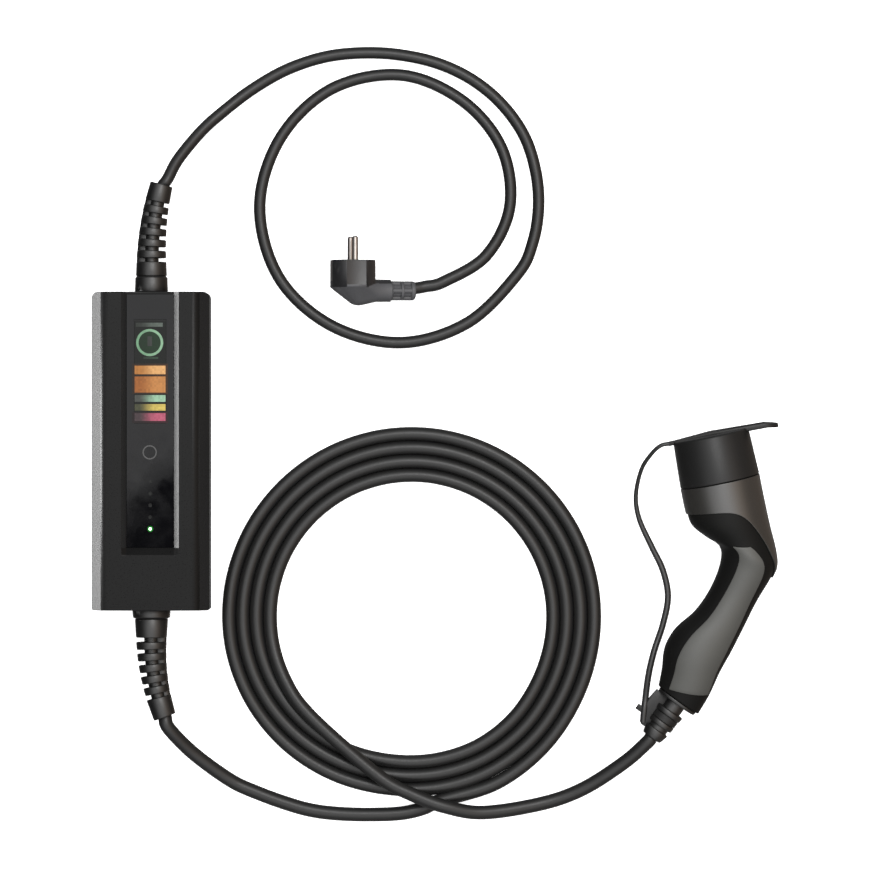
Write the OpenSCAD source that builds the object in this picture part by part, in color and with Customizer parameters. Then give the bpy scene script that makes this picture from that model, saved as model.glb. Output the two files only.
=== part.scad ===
// Portable electric-vehicle charger, laid out flat: a control box, a mains cord with an angled
// plug, a coiled vehicle cord and a vehicle connector that lies on its side with its dust cap on.
// Millimetres. +Z points up from the floor, +Y along the box towards its mains end.
// The origin is the centre of the control box's back face.

/* [Control box] */
// Width of the box
box_w = 94; // [88:1:110]
// Length of the box
box_l = 254; // [244:1:290]
// Depth from the back face to the front face
box_d = 52; // [48:1:60]
// Wall of both covers
box_wall = 2.8; // [2.2:0.1:3.4]
// Width and depth of the bevel along each long front edge
box_bevel = 10; // [6:0.5:12]
// Chamfer along the long back edges
back_chamfer = 3; // [1:0.5:5]
// Corner radius at the mains end, seen from the front
mains_corner_r = 5; // [3:0.5:8]
// Corner radius at the vehicle end, seen from the front
vehicle_corner_r = 1.5; // [1:0.5:3]
// Height of the parting line, which is also the height of both cords' axes
parting_z = 26; // [24:1:30]

/* [Front panel] */
// Width of the glossy panel
panel_w = 34; // [30:1:38]
// Length of the glossy panel
panel_l = 202; // [190:1:212]
// Thickness of the glossy panel
panel_t = 2; // [1.5:0.1:3]
// Depth of the trough that the panel lies in
trough_depth = 4; // [2.5:0.5:6]
// Width of the trough's sloped side walls
trough_slope = 6; // [3:0.5:8]
// Width of the display window
display_w = 25.6; // [20:0.2:28]
// Length of the display window
display_l = 83; // [60:1:90]
// Distance from the mains end of the box to the display window
display_inset = 22; // [18:1:26]
// Radius of the touch key's sensor pad
touch_r = 6; // [4:0.5:8]
// Distance from the display window to the centre of the touch key
touch_gap = 23; // [16:1:26]
// Radius of one status light
light_r = 1.5; // [1:0.1:2]
// Distance between status lights
light_pitch = 9.4; // [7:0.2:10]
// Number of status lights
light_count = 5; // [3:1:5]

/* [Bend reliefs on the box] */
// Diameter of a bend relief at its base
relief_base_d = 26; // [24:1:30]
// Diameter of a bend relief at its tip
relief_tip_d = 18; // [16:0.5:20]
// Diameter of the neck that the covers clamp
relief_neck_d = 20; // [18:0.5:22]
// Straight length at the base
relief_base_l = 25; // [20:1:30]
// Length of the bent, ribbed part
relief_bent_l = 62; // [50:1:75]
// Angle through which the ribbed part bends
relief_bend = 20; // [10:1:30]
// Number of ribs
relief_ribs = 6; // [4:1:7]
// Width of one rib
relief_rib_w = 6; // [4:0.5:6.5]
// Diameter of the collar at the vehicle end
relief_collar_d = 31; // [28:1:34]

/* [Cords] */
// Diameter of the mains cord
mains_cord_d = 9.6; // [8:0.2:11]
// Diameter of the vehicle cord
vehicle_cord_d = 11.2; // [9:0.2:12]
// Number of turns in the vehicle cord's coil
coil_turns = 4; // [2:1:5]
// Radius of the coil to the outside of its outer turn
coil_outer_r = 152.4; // [140:0.4:160]
// Distance between neighbouring turns
coil_pitch = 11.1; // [9:0.1:13]

/* [Mains plug] */
// Diameter of the plug's round face
plug_d = 36.4; // [34:0.2:39]
// Length of the round part behind the face
plug_face_l = 22; // [18:1:25]
// Diameter of a pin
pin_d = 4.8; // [4.5:0.1:5]
// Length of a pin
pin_l = 19; // [18:0.5:20]
// Distance between the pins' axes
pin_pitch = 19; // [18.5:0.1:19.5]
// Length of a pin's root inside the plug body
pin_root = 12; // [8:1:15]
// Diameter of a pin's root inside the plug body
pin_root_d = 4; // [3:0.2:4.4]
// Diameter of the hole for a socket's earth pin
earth_hole_d = 4.9; // [4.8:0.1:5.2]
// Distance of that hole from the plug's axis
earth_hole_offset = 10; // [9:0.5:11]
// Distance from the plug's axis to the end of its arm
plug_arm_l = 50.4; // [44:0.2:56]
// Diameter of the arm
plug_arm_d = 18; // [17:0.5:20]
// Length of the ribbed relief at the end of the arm
plug_relief_l = 20; // [14:1:24]
// Angle at which the plug lies, from its round side down to the end of its arm
plug_roll = 12; // [8:0.5:12]

/* [Vehicle connector] */
// Diameter of the head under its sleeve
head_d = 61.6; // [58:0.2:66]
// Thickness of the head sleeve and of the grip inlays
trim_t = 1.2; // [0.8:0.1:1.6]
// Width of the grip at its belly, seen from the side
grip_w = 48.6; // [44:0.2:54]
// Thickness of the grip at its belly
grip_t = 47; // [40:0.5:47]
// Thickness of the handle at its tail end
tail_d = 30.8; // [29:0.2:34]
// Width of the handle's tail end
tail_w = 39; // [36:0.5:42]
// Wall of the two handle halves
handle_wall = 3; // [2.5:0.1:3.5]
// Diameter of the nose
nose_d = 54.8; // [53:0.2:56]
// Length of the nose in front of the head
nose_l = 33; // [28:1:36]
// Depth of the nose inside the head
nose_root = 12; // [8:1:16]
// Wall of the nose
nose_wall = 2.6; // [2:0.1:3]
// Distance from the nose's axis to the flat along its top
nose_flat = 22; // [20:0.5:24]
// Diameter of the pins that the power contacts take
power_pin_d = 6; // [5.8:0.1:6.4]
// Diameter of the pins that the signal contacts take
signal_pin_d = 3; // [2.8:0.1:3.2]
// Wall of a contact
contact_wall = 0.8; // [0.6:0.1:1]
// Wall of the tower around a contact
tower_wall = 1.5; // [1:0.1:1.8]
// Distance from the nose's axis to the line and neutral contacts
power_offset = 17; // [16:0.5:17]
// Length of the connector's bend relief outside the handle
tail_relief_l = 37; // [30:1:45]

/* [Dust cap] */
// Diameter of the cap at its open end
cap_d = 64; // [62:0.2:66]
// Diameter of the cap at its lid
cap_lid_d = 61; // [60:0.2:64]
// Thickness of the lid
lid_t = 3; // [2:0.5:4]
// Length of the pull tab beyond the lid
tab_l = 24; // [16:1:30]
// Width of the pull tab
tab_w = 22; // [16:1:28]
// Width of the strap
strap_w = 6; // [4:0.5:8]
// Thickness of the strap
strap_t = 4; // [3:0.5:5]

/* [Clearances] */
// Gap between pieces that are fastened together
fit_gap = 0.2; // [0.1:0.05:0.3]
// Gap around the dust cap
cap_gap = 0.35; // [0.3:0.05:0.5]

/* [Hidden] */
$fn = 64;

// Colours
charcoal = "#323232";
rubber = "#262626";
gloss_black = "#0c0c0d";
screen_green = "#2f4a38";
light_white = "#e6f5e0";
board_green = "#1f5a3a";
relay_black = "#1b1b1d";
part_blue = "#3a5f8a";
steel = "#b5aca6";
brass = "#c9a86a";
inlay_grey = "#5c5c5a";
nylon = "#3c3c3e";
big = 400;

// Heights and places in the box
half_w = box_w / 2;
half_l = box_l / 2;
panel_top = box_d - trough_depth;
panel_bottom = panel_top - panel_t;
pad_bottom = panel_bottom - box_wall;
trough_half = panel_w / 2 + trough_slope;
panel_inset = 2;
panel_y1 = half_l - panel_inset;
panel_y0 = panel_y1 - panel_l;
display_y1 = half_l - display_inset;
display_y0 = display_y1 - display_l;
display_rim = 2.4;
display_frame_t = 3;
touch_y = display_y0 - touch_gap;
light_share = 0.555;
light_centre = touch_y + light_share * (panel_y0 - touch_y);
light_y0 = light_centre + (light_count - 1) * light_pitch / 2;
guide_t = 2;

// Covers and what holds them
seal_w = 1.2;
seal_h = 1.2;
post_r = 5;
screw_r = 1.5;
screw_head_r = 2.8;
screw_head_h = 2.4;
screw_seat = 6;
screw_grip = 8;
post_inset_x = box_wall + post_r + 0.5;
post_inset_y = 30;
post_places = [for (x = [-1, 1], y = [-1, 0, 1])
    [x * (half_w - post_inset_x), y * (half_l - post_inset_y)]];

// Main board and what stands on it
board_z = 14;
board_t = 1.6;
board_top = board_z + board_t;
board_side_gap = 13;
board_end_gap = 37;
board_edge = 5;
board_w = box_w - 2 * (box_wall + board_side_gap);
board_l = box_l - 2 * (box_wall + board_end_gap);
board_post_r = 3.4;
board_posts = [for (x = [-1, 1], y = [-1, 1])
    [x * (board_w / 2 - board_edge), y * (board_l / 2 - board_edge)]];
relay = [13, 29, 16];
relay_gap = 6;
sensor_r = 13;
sensor_hole_r = 6.5;
sensor_h = 14;
supply_block = [24, 38, 15];
mains_poles = 3;
vehicle_poles = 5;
terminal_gap = 0.9;
terminal_pitch = (board_w - 2 * (board_edge + screw_head_r + terminal_gap)) / vehicle_poles;
terminal_depth = 13;
terminal_edge = 1;
terminal_h = 15;

// Bend reliefs
relief_r = relief_bent_l / relief_bend * 180 / PI;
relief_flange_t = 3;
relief_stub_l = 14;
relief_stub_r = 7;
relief_core_r = 6.6;
relief_tip_l = 9;
relief_collar_l = 6;
relief_web_r = 3.6;
relief_web_offset = 4.8;
clamp_l = 10;
clamp_bolt_x = 15;
relief_tip = [relief_r * (1 - cos(relief_bend)),
    half_l + relief_base_l + relief_r * sin(relief_bend), parting_z];
exit_l = 10;
relief_exit = relief_tip + exit_l * [sin(relief_bend), cos(relief_bend), 0];

// Mains plug
plug_place = [161, 153, plug_d / 2 + 0.3];
plug_arm_y = -plug_face_l - 2.5;
plug_relief_d = 15.6;
pin_chamfer = 1;
clip_w = 8;
clip_t = 1.2;
clip_l = 17;
groove_w = 16;
groove_depth = 3;
earth_hole_l = 15;

// Vehicle connector
head_r = head_d / 2;
connector_rest = 2.85;
connector_place = [454.4, -24, head_r + connector_rest];
connector_turn = 11.5;
connector_tilt = 3.6;
tail_r = tail_d / 2;
nose_r = nose_d / 2;
nose_floor_t = 5;
tower_recess = 7;
signal_offset = [13, 7.5];
spare_offset = [-13.5, 8.6];
power_places = [[0, 0], [0, power_offset], [0, -power_offset]];
signal_places = [for (s = [-1, 1]) [signal_offset[0], s * signal_offset[1]]];
spare_places = [for (s = [-1, 1]) [spare_offset[0], s * spare_offset[1]]];
contact_l = nose_l - tower_recess - nose_floor_t;
tail_relief_root = 6;
tail_root_gap = 2.6;
tail_flange_t = 3;
tail_clamp_l = 6;
tail_clamp_t = 2.5;
ring_along = 18;
ring_w = 5;
ring_t = 2.4;
ring_lug = 20;
tab_in = 12;
tab_out = 17.5;
tab_from = 5;
tab_to = 28;
knob_reach = 24;
knob_from = 21;
knob_to = 25.5;

// Handle stations: [axis point, angle of the section, half width, half thickness]
stations = [
    [[0, 0], 0, head_r, head_r],
    [[0, -18], -4, head_r, head_r],
    [[1, -36], -12, head_r, head_r * 0.98],
    [[6, -52], -23, head_r * 0.92, head_r * 0.88],
    [[10, -63], -30, grip_w * 0.49, grip_t * 0.57],
    [[6, -74], -28, grip_w * 0.435, grip_t * 0.51],
    [[-7, -91], -29, grip_w * 0.395, grip_t * 0.465],
    [[-22, -108], -32, grip_w * 0.42, grip_t * 0.475],
    [[-38, -122], -34, grip_w / 2, grip_t / 2],
    [[-50, -136], -36, grip_w / 2, grip_t * 0.49],
    [[-58.5, -152], -41, (grip_w + tail_w) / 4, (grip_t + tail_d) / 4],
    [[-67.2, -165.3], -47, tail_w / 2, tail_r]];
last_station = len(stations) - 1;
tail_turn = stations[last_station][1];
tail_axis = [sin(tail_turn), -cos(tail_turn), 0];
tail_side = [-cos(tail_turn), -sin(tail_turn), 0];
tail_point = [stations[last_station][0][0], stations[last_station][0][1], 0];
steps_per_station = 3;
half_sides = 16;

// Strap and its two ends, in the connector's own frame
strap_root = [-cap_lid_d / 2 - 4, nose_l + cap_gap + lid_t / 2, 0];
strap_end = tail_point + ring_along * tail_axis + ring_lug * tail_side;

// Cord routes on the floor, by hand: [x, y, height of the cord's axis]
mains_route = [
    [30, 249, 16], [62, 276, 6], [130, 314, 5], [200, 318, 5], [257, 298, 5], [298, 254, 5],
    [310, 197, 5], [293, 142, 5], [253, 103, 5], [199, 87, 5], [143, 101, 5], [101, 140, 5],
    [86, 197, 5], [103, 252, 5], [144, 291, 5], [199, 302, 5], [248, 282, 5], [280, 244, 5],
    [287, 197, 5], [268, 157, 5], [234, 136, 6]];
lead_route = [
    [34, -243, 16], [63, -265, 7.5], [125, -287, 6], [177, -291, 6], [207, -290, 6],
    [226, -285, 6], [246, -274, 6]];
tail_route = [
    [137, -225, 8], [181, -260, 18], [208, -275, 18], [235, -285, 18], [266, -290, 12],
    [313, -283, 6], [346, -271, 8], [378, -250, 15]];
strap_route = [
    [400, -2, 30], [392, -15, 20], [388, -36, 9], [391, -55, 4], [401, -77, 3.2], [410, -96, 3.2],
    [414, -117, 3.2], [410, -139, 3.2], [403, -160, 5], [398, -180, 12]];
coil_place = [208, -133, 0];

// Functions: a curve through points, and a tube swept along it
function spline(a, b, c, d, t) =
    ((2 * b) + (c - a) * t + (2 * a - 5 * b + 4 * c - d) * t * t
    + (3 * b - a - 3 * c + d) * t * t * t) / 2;
function end_point(p, i) =
    i < 0 ? 2 * p[0] - p[1] : i >= len(p) ? 2 * p[len(p) - 1] - p[len(p) - 2] : p[i];
function curve(p, n) = concat([for (i = [0:len(p) - 2], k = [0:n - 1])
    spline(end_point(p, i - 1), p[i], p[i + 1], end_point(p, i + 2), k / n)],
    [p[len(p) - 1]]);
function unit(v) = v / norm(v);
function along(p, i) = unit(p[min(i + 1, len(p) - 1)] - p[max(i - 1, 0)]);
function sideways(t) = unit(cross(t, [0, 0, 1]));

// A point of the connector's own frame, in the frame of the whole object
function connector_point(p) = let (
    x = p[0] * cos(connector_turn) - p[1] * sin(connector_turn),
    y = p[0] * sin(connector_turn) + p[1] * cos(connector_turn))
    connector_place + [x, y * cos(connector_tilt) - p[2] * sin(connector_tilt),
    y * sin(connector_tilt) + p[2] * cos(connector_tilt)];

// A point of the plug's own frame, in the frame of the whole object
function plug_point(p) = plug_place + [p[0] * cos(plug_roll) + p[2] * sin(plug_roll), p[1],
    p[2] * cos(plug_roll) - p[0] * sin(plug_roll)];

// Handle section values at any place along the stations
function station_value(s, k) = let (
    i = min(floor(s), last_station - 1),
    row = function (j) stations[min(max(j, 0), last_station)][k])
    spline(row(i - 1), row(i), row(i + 1), row(i + 2), s - i);

// A point on the handle's surface at place s and angle a, moved out by d
function handle_point(s, a, d) = let (
    c = station_value(s, 0),
    turn = station_value(s, 1),
    w = (station_value(s, 2) + d) * cos(a))
    [c[0] + w * cos(turn), c[1] + w * sin(turn), (station_value(s, 3) + d) * sin(a)];

// A closed skin between two grids of points that share their edges
module slab(outer, inner) {
    rows = len(outer);
    cols = len(outer[0]);
    below = rows * cols;
    at = function (i, j) i * cols + j;
    top = [for (i = [0:rows - 2], j = [0:cols - 2])
        [at(i, j), at(i, j + 1), at(i + 1, j + 1), at(i + 1, j)]];
    bottom = [for (f = top) [for (k = [3:-1:0]) f[k] + below]];
    ends = [for (j = [0:cols - 2], i = [0, rows - 1])
        i == 0 ? [at(i, j + 1), at(i, j), at(i, j) + below, at(i, j + 1) + below]
        : [at(i, j), at(i, j + 1), at(i, j + 1) + below, at(i, j) + below]];
    sides = [for (i = [0:rows - 2], j = [0, cols - 1])
        j == 0 ? [at(i, j), at(i + 1, j), at(i + 1, j) + below, at(i, j) + below]
        : [at(i + 1, j), at(i, j), at(i, j) + below, at(i + 1, j) + below]];
    points = concat([for (r = outer, p = r) p], [for (r = inner, p = r) p]);
    quads = concat(top, bottom, ends, sides);
    polyhedron(points, [for (q = quads, t = [[0, 1, 2], [0, 2, 3]]) [for (k = t) q[k]]]);
}

// A tube of the given section, swept along a curve
module sweep(path, section) {
    n = len(section);
    rings = len(path);
    points = [for (i = [0:rings - 1], q = section)
        let (t = along(path, i), s = sideways(t)) path[i] + q[0] * s + q[1] * cross(s, t)];
    wall = [for (i = [0:rings - 2], k = [0:n - 1])
        let (a = i * n + k, b = i * n + (k + 1) % n) each [[a, b, b + n], [a, b + n, a + n]]];
    start = [for (k = [1:n - 2]) [0, k + 1, k]];
    finish = [for (k = [1:n - 2]) [for (j = [0, k, k + 1]) (rings - 1) * n + j]];
    polyhedron(points, concat(wall, start, finish));
}

function round_section(d, n) = [for (k = [0:n - 1]) d / 2 * [cos(360 * k / n), sin(360 * k / n)]];

// A cylinder along +Y that starts at y0
module rod(r, y0, l) {
    translate([0, y0, 0])
        rotate([-90, 0, 0])
            cylinder(h = l, r = r);
}

// A cone along +Y that starts at y0
module taper(r0, r1, y0, l) {
    translate([0, y0, 0])
        rotate([-90, 0, 0])
            cylinder(h = l, r1 = r0, r2 = r1);
}

// Outline of the box from the front, moved in by i
module box_outline(i) {
    w = box_w / 2 - i;
    l = box_l / 2 - i;
    rt = max(mains_corner_r - i, 0.8);
    rb = max(vehicle_corner_r - i, 0.8);
    translate([-w + rt, -l + rb])
        square([2 * (w - rt), 2 * l - rb]);
    translate([-w, -l + rb])
        square([2 * w, 2 * l - rt - rb]);
    translate([-w + rb, -l])
        square([2 * (w - rb), 2 * rb]);
    for (s = [-1, 1]) {
        translate([s * (w - rt), l - rt])
            circle(rt);
        translate([s * (w - rb), -l + rb])
            circle(rb);
    }
}

// Cross-section of the box, moved in by i
module box_profile(i) {
    w = box_w / 2 - i;
    lean = i * (2 - sqrt(2));
    bevel = box_bevel - lean;
    back = max(back_chamfer - lean, 0.5);
    polygon([[-w + back, i], [-w, i + back], [-w, box_d - i - bevel], [-w + bevel, box_d - i],
        [w - bevel, box_d - i], [w, box_d - i - bevel], [w, i + back], [w - back, i]]);
}

// The whole box as one solid, moved in by i
module box_blank(i) {
    intersection() {
        rotate([90, 0, 0])
            linear_extrude(box_l, center = true)
                box_profile(i);
        linear_extrude(box_d)
            box_outline(i);
    }
}

// Everything on one side of the parting line
module half_space(above) {
    translate([-big / 2, -big / 2, above ? parting_z : parting_z - big])
        cube([big, big, big]);
}

// The holes in both end walls that the reliefs' necks pass through
module neck_holes() {
    for (s = [-1, 1])
        translate([0, s * half_l, parting_z])
            rotate([90, 0, 0])
                cylinder(h = 3 * box_wall, r = relief_neck_d / 2 + fit_gap, center = true);
}

// Upright cylinders at the given places
module posts(places, r, z0, z1) {
    for (p = places)
        translate([p[0], p[1], z0])
            cylinder(h = z1 - z0, r = r);
}

// The ring that lies in the rear cover's rim, wider by g
module seal_ring(g) {
    difference() {
        translate([0, 0, parting_z - seal_h - g])
            linear_extrude(seal_h + g)
                difference() {
                    box_outline((box_wall - seal_w) / 2 - g);
                    box_outline((box_wall + seal_w) / 2 + g);
                }
        neck_holes();
    }
}

// Bolt places of a cord clamp, on the inside of one end wall
function clamp_y(s) =
    s * (half_l - box_wall - relief_flange_t - fit_gap - relief_stub_l + clamp_l / 2);
clamp_places = [for (s = [-1, 1], x = [-1, 1]) [x * clamp_bolt_x, clamp_y(s)]];

module rear_cover() {
    color(charcoal)
    difference() {
        union() {
            difference() {
                box_blank(0);
                half_space(true);
                box_blank(box_wall);
            }
            intersection() {
                box_blank(box_wall / 2);
                union() {
                    posts(post_places, post_r, 0, parting_z);
                    posts(board_posts, board_post_r, 0, board_z);
                    posts(clamp_places, board_post_r, 0, parting_z);
                }
            }
        }
        seal_ring(0);
        neck_holes();
        posts(post_places, screw_head_r + fit_gap, -1, parting_z - screw_seat);
        posts(post_places, screw_r + fit_gap, 0, parting_z + 1);
        posts(board_posts, screw_r, board_z - screw_seat, board_z + 1);
        posts(clamp_places, screw_r, parting_z - screw_seat, parting_z + 1);
    }
}

// The trough along the front, open at the mains end
module trough() {
    rotate([90, 0, 0])
        translate([0, 0, -big / 2])
            linear_extrude(big / 2 - panel_y0)
                polygon([[-panel_w / 2, panel_top], [panel_w / 2, panel_top],
                    [trough_half + 1, box_d + trough_depth / trough_slope],
                    [-trough_half - 1, box_d + trough_depth / trough_slope]]);
    // the sloped end of the trough
    translate([0, panel_y0, 0])
        rotate([90, 0, 90])
            linear_extrude(panel_w, center = true)
                polygon([[0, panel_top], [-trough_slope, box_d], [-trough_slope, box_d + 1],
                    [1, box_d + 1], [1, panel_top]]);
}

module front_cover() {
    color(charcoal)
    difference() {
        union() {
            difference() {
                box_blank(0);
                half_space(false);
                difference() {
                    box_blank(box_wall);
                    translate([-trough_half - box_wall, panel_y0 - trough_slope - box_wall, pad_bottom])
                        cube([2 * (trough_half + box_wall), big, big]);
                }
            }
            intersection() {
                box_blank(box_wall / 2);
                posts(post_places, post_r - 1, parting_z, box_d);
            }
        }
        trough();
        translate([-panel_w / 2, panel_y0, panel_bottom])
            cube([panel_w, panel_l, big]);
        translate([-display_w / 2 - display_rim, display_y0 - display_rim, pad_bottom - 1])
            cube([display_w + 2 * display_rim, display_l + 2 * display_rim, big]);
        translate([0, touch_y, pad_bottom - 1])
            cylinder(h = big, r = touch_r + fit_gap);
        light_slot(fit_gap);
        neck_holes();
        posts(post_places, screw_r + 0.1, parting_z - 1, parting_z + screw_grip + 2);
    }
}

module housing_seal() {
    color(rubber)
        seal_ring(-0.05);
}

module front_panel() {
    color(gloss_black)
    difference() {
        translate([-panel_w / 2 + fit_gap, panel_y0 + fit_gap, panel_bottom])
            cube([panel_w - 2 * fit_gap, panel_l - 2 * fit_gap, panel_t]);
        translate([-display_w / 2, display_y0, 0])
            cube([display_w, display_l, big]);
        light_dots(light_r, panel_bottom - 1, box_d);
    }
}

// Round places of the status lights between two heights
module light_dots(r, z0, z1) {
    posts([for (i = [0:light_count - 1]) [0, light_y0 - i * light_pitch]], r, z0, z1);
}

// The slot in the front cover that the light guide lies in, wider by g
module light_slot(g) {
    translate([-2 * light_r - g, light_y0 - (light_count - 1) * light_pitch - 2 * light_r - g,
        panel_bottom - guide_t - (g > 0 ? big : 0)])
        cube([4 * light_r + 2 * g, (light_count - 1) * light_pitch + 4 * light_r + 2 * g,
            guide_t + (g > 0 ? big : 0)]);
}

module status_lights() {
    color(light_white) {
        light_slot(0);
        light_dots(light_r - 0.05, panel_bottom, panel_top);
    }
}

module display_module() {
    color(screen_green) {
        translate([-display_w / 2 + fit_gap, display_y0 + fit_gap, panel_bottom])
            cube([display_w - 2 * fit_gap, display_l - 2 * fit_gap, panel_t]);
        translate([-display_w / 2 - display_rim + fit_gap, display_y0 - display_rim + fit_gap,
            panel_bottom - display_frame_t])
            cube([display_w + 2 * (display_rim - fit_gap), display_l + 2 * (display_rim - fit_gap),
                display_frame_t]);
    }
}

module touch_pad() {
    color(steel)
        translate([0, touch_y, pad_bottom])
            cylinder(h = box_wall, r = touch_r);
}

module main_board() {
    color(board_green)
    difference() {
        translate([-board_w / 2, -board_l / 2, board_z])
            cube([board_w, board_l, board_t]);
        posts(board_posts, screw_r + fit_gap, 0, board_top + 1);
    }
}

// A block on the board, centred at p
module on_board(p, size) {
    translate([p[0] - size[0] / 2, p[1] - size[1] / 2, board_top])
        cube(size);
}

module power_relays() {
    color(relay_black)
        for (s = [-1, 1])
            on_board([s * (relay[0] + relay_gap) / 2 - board_w / 8, 0], relay);
}

module leakage_sensor() {
    color(relay_black)
        translate([0, -board_l / 4, board_top])
            difference() {
                cylinder(h = sensor_h, r = sensor_r);
                translate([0, 0, -1])
                    cylinder(h = sensor_h + 2, r = sensor_hole_r);
            }
}

module supply_module() {
    color(part_blue)
        on_board([0, board_l / 4], supply_block);
}

// A row of screw terminals with n poles, at the board's end
module terminals(n, s) {
    y = s * (board_l / 2 - terminal_depth / 2 - terminal_edge);
    color(part_blue)
    difference() {
        on_board([0, y], [n * terminal_pitch, terminal_depth, terminal_h]);
        for (i = [0:n - 1])
            translate([(i - (n - 1) / 2) * terminal_pitch, y, board_top + terminal_h / 2])
                cylinder(h = terminal_h, r = terminal_pitch / 3);
    }
}

module mains_terminals() {
    terminals(mains_poles, 1);
}

module vehicle_terminals() {
    terminals(vehicle_poles, -1);
}

// A pan-head screw that points along +Z from its seat
module screw(l) {
    translate([0, 0, -screw_head_h])
        cylinder(h = screw_head_h, r = screw_head_r);
    cylinder(h = l, r = screw_r);
}

module cover_screws() {
    color(steel)
        for (p = post_places)
            translate([p[0], p[1], parting_z - screw_seat])
                screw(screw_seat + screw_grip);
}

module board_screws() {
    color(steel)
        for (p = board_posts)
            translate([p[0], p[1], board_top])
                mirror([0, 0, 1])
                    screw(board_t + screw_seat - 1);
}

// A bridge over the inner stub of a bend relief
module cord_clamp(s) {
    clamp_top = relief_stub_r + 4;
    color(nylon)
    difference() {
        translate([-clamp_bolt_x - 5, clamp_y(s) - clamp_l / 2, parting_z])
            cube([2 * clamp_bolt_x + 10, clamp_l, clamp_top]);
        translate([0, clamp_y(s), parting_z])
            rotate([90, 0, 0])
                cylinder(h = 2 * clamp_l, r = relief_stub_r + 0.05, center = true);
        posts(clamp_places, screw_r, parting_z - 1, parting_z + clamp_top + 1);
    }
}

module mains_cord_clamp() {
    cord_clamp(1);
}

module vehicle_cord_clamp() {
    cord_clamp(-1);
}

// A bend relief: +Y leaves the end wall's outer face, and the tip bends towards +X.
// The web that joins the ribs lies on the side given by web, -1 or 1.
module bend_relief(web, collar_d) {
    base_r = relief_base_d / 2;
    tip_r = relief_tip_d / 2;
    inside = box_wall + fit_gap;
    step = (relief_bent_l - relief_tip_l) / relief_ribs;
    color(rubber) {
        rod(relief_stub_r, -inside - relief_flange_t - relief_stub_l, relief_stub_l);
        rod(base_r, -inside - relief_flange_t, relief_flange_t);
        rod(relief_neck_d / 2, -inside, inside + fit_gap);
        taper(base_r, base_r * 0.94, fit_gap, relief_base_l - fit_gap);
        if (collar_d > 0)
            taper(collar_d / 2, collar_d / 2 - 1, fit_gap, relief_collar_l);
        translate([relief_r, relief_base_l, 0])
            rotate([0, 0, 180 - relief_bend])
                rotate_extrude(angle = relief_bend) {
                    translate([relief_r, 0])
                        circle(relief_core_r);
                    translate([relief_r - web * relief_web_offset, 0])
                        circle(relief_web_r);
                }
        for (i = [1:relief_ribs - 1]) {
            turn = i * step / relief_bent_l * relief_bend;
            rib_r = base_r * 0.94 + (tip_r - base_r * 0.94) * i / relief_ribs;
            on_bend(turn)
                rod(rib_r, -relief_rib_w / 2, relief_rib_w);
        }
        on_bend(relief_bend)
            rod(tip_r, -relief_tip_l, relief_tip_l);
    }
}

// Places a piece on the relief's bent axis, turned with it
module on_bend(turn) {
    translate([relief_r * (1 - cos(turn)), relief_base_l + relief_r * sin(turn), 0])
        rotate([0, 0, -turn])
            children();
}

module mains_bend_relief() {
    translate([0, half_l, parting_z])
        bend_relief(-1, 0);
}

module vehicle_bend_relief() {
    translate([0, -half_l, parting_z])
        mirror([0, 1, 0])
            bend_relief(1, relief_collar_d);
}

// Places a piece of the plug: its face is at the origin and its pins point along +Y
module on_plug() {
    translate(plug_place)
        rotate([0, plug_roll, 0])
            children();
}

module plug_body() {
    r = plug_d / 2;
    arm_r = plug_arm_d / 2;
    arm_end = plug_arm_l - plug_relief_l;
    color(rubber)
    on_plug()
    difference() {
        union() {
            rod(r, -plug_face_l, plug_face_l);
            hull() {
                rod(r, -plug_face_l, 1);
                translate([arm_r / 2, plug_arm_y, 0])
                    sphere(r = arm_r + 3, $fn = 32);
                translate([arm_r * 2, plug_arm_y, 0])
                    sphere(r = arm_r, $fn = 32);
            }
            translate([arm_r, plug_arm_y, 0])
                rotate([0, 90, 0])
                    cylinder(h = arm_end - arm_r, r = arm_r);
        }
        // guide grooves above and below, and seats of the earth clips on both sides
        for (s = [-1, 1]) {
            translate([-groove_w / 2, 2 - plug_face_l, s * (r - groove_depth / 2) - groove_depth / 2])
                cube([groove_w, plug_face_l, groove_depth]);
            translate([s * (r - clip_t) - clip_t, -clip_l, -clip_w / 2 - fit_gap])
                cube([2 * clip_t, clip_l + 1, clip_w + 2 * fit_gap]);
        }
        for (s = [-1, 1])
            translate([0, 0, s * pin_pitch / 2])
                rod(pin_root_d / 2, -pin_root, pin_root + 1);
        translate([-earth_hole_offset, 0, 0])
            rod(earth_hole_d / 2, -earth_hole_l, earth_hole_l + 1);
    }
}

module plug_pins() {
    color(steel)
    on_plug()
    for (s = [-1, 1])
        translate([0, 0, s * pin_pitch / 2]) {
            rod(pin_root_d / 2, -pin_root, pin_root);
            rod(pin_d / 2, 0, pin_l - pin_chamfer);
            taper(pin_d / 2, pin_d / 2 - pin_chamfer, pin_l - pin_chamfer, pin_chamfer);
        }
}

module plug_earth_clips() {
    color(steel)
    on_plug()
    for (s = [-1, 1])
        translate([s * (plug_d / 2 - 1.5 * clip_t) - clip_t / 2, -clip_l, -clip_w / 2])
            cube([clip_t, clip_l, clip_w]);
}

module plug_cord_relief() {
    r = plug_relief_d / 2;
    groove = 3;
    color(rubber)
    on_plug()
    translate([plug_arm_l - plug_relief_l, plug_arm_y, 0])
        rotate([0, 90, 0])
            difference() {
                cylinder(h = plug_relief_l, r = r);
                for (k = [1, 2])
                    translate([0, 0, k * plug_relief_l / 3 - groove / 2])
                        difference() {
                            cylinder(h = groove, r = r + 1);
                            translate([0, 0, -1])
                                cylinder(h = groove + 2, r = r - 2.4);
                        }
            }
}

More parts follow.
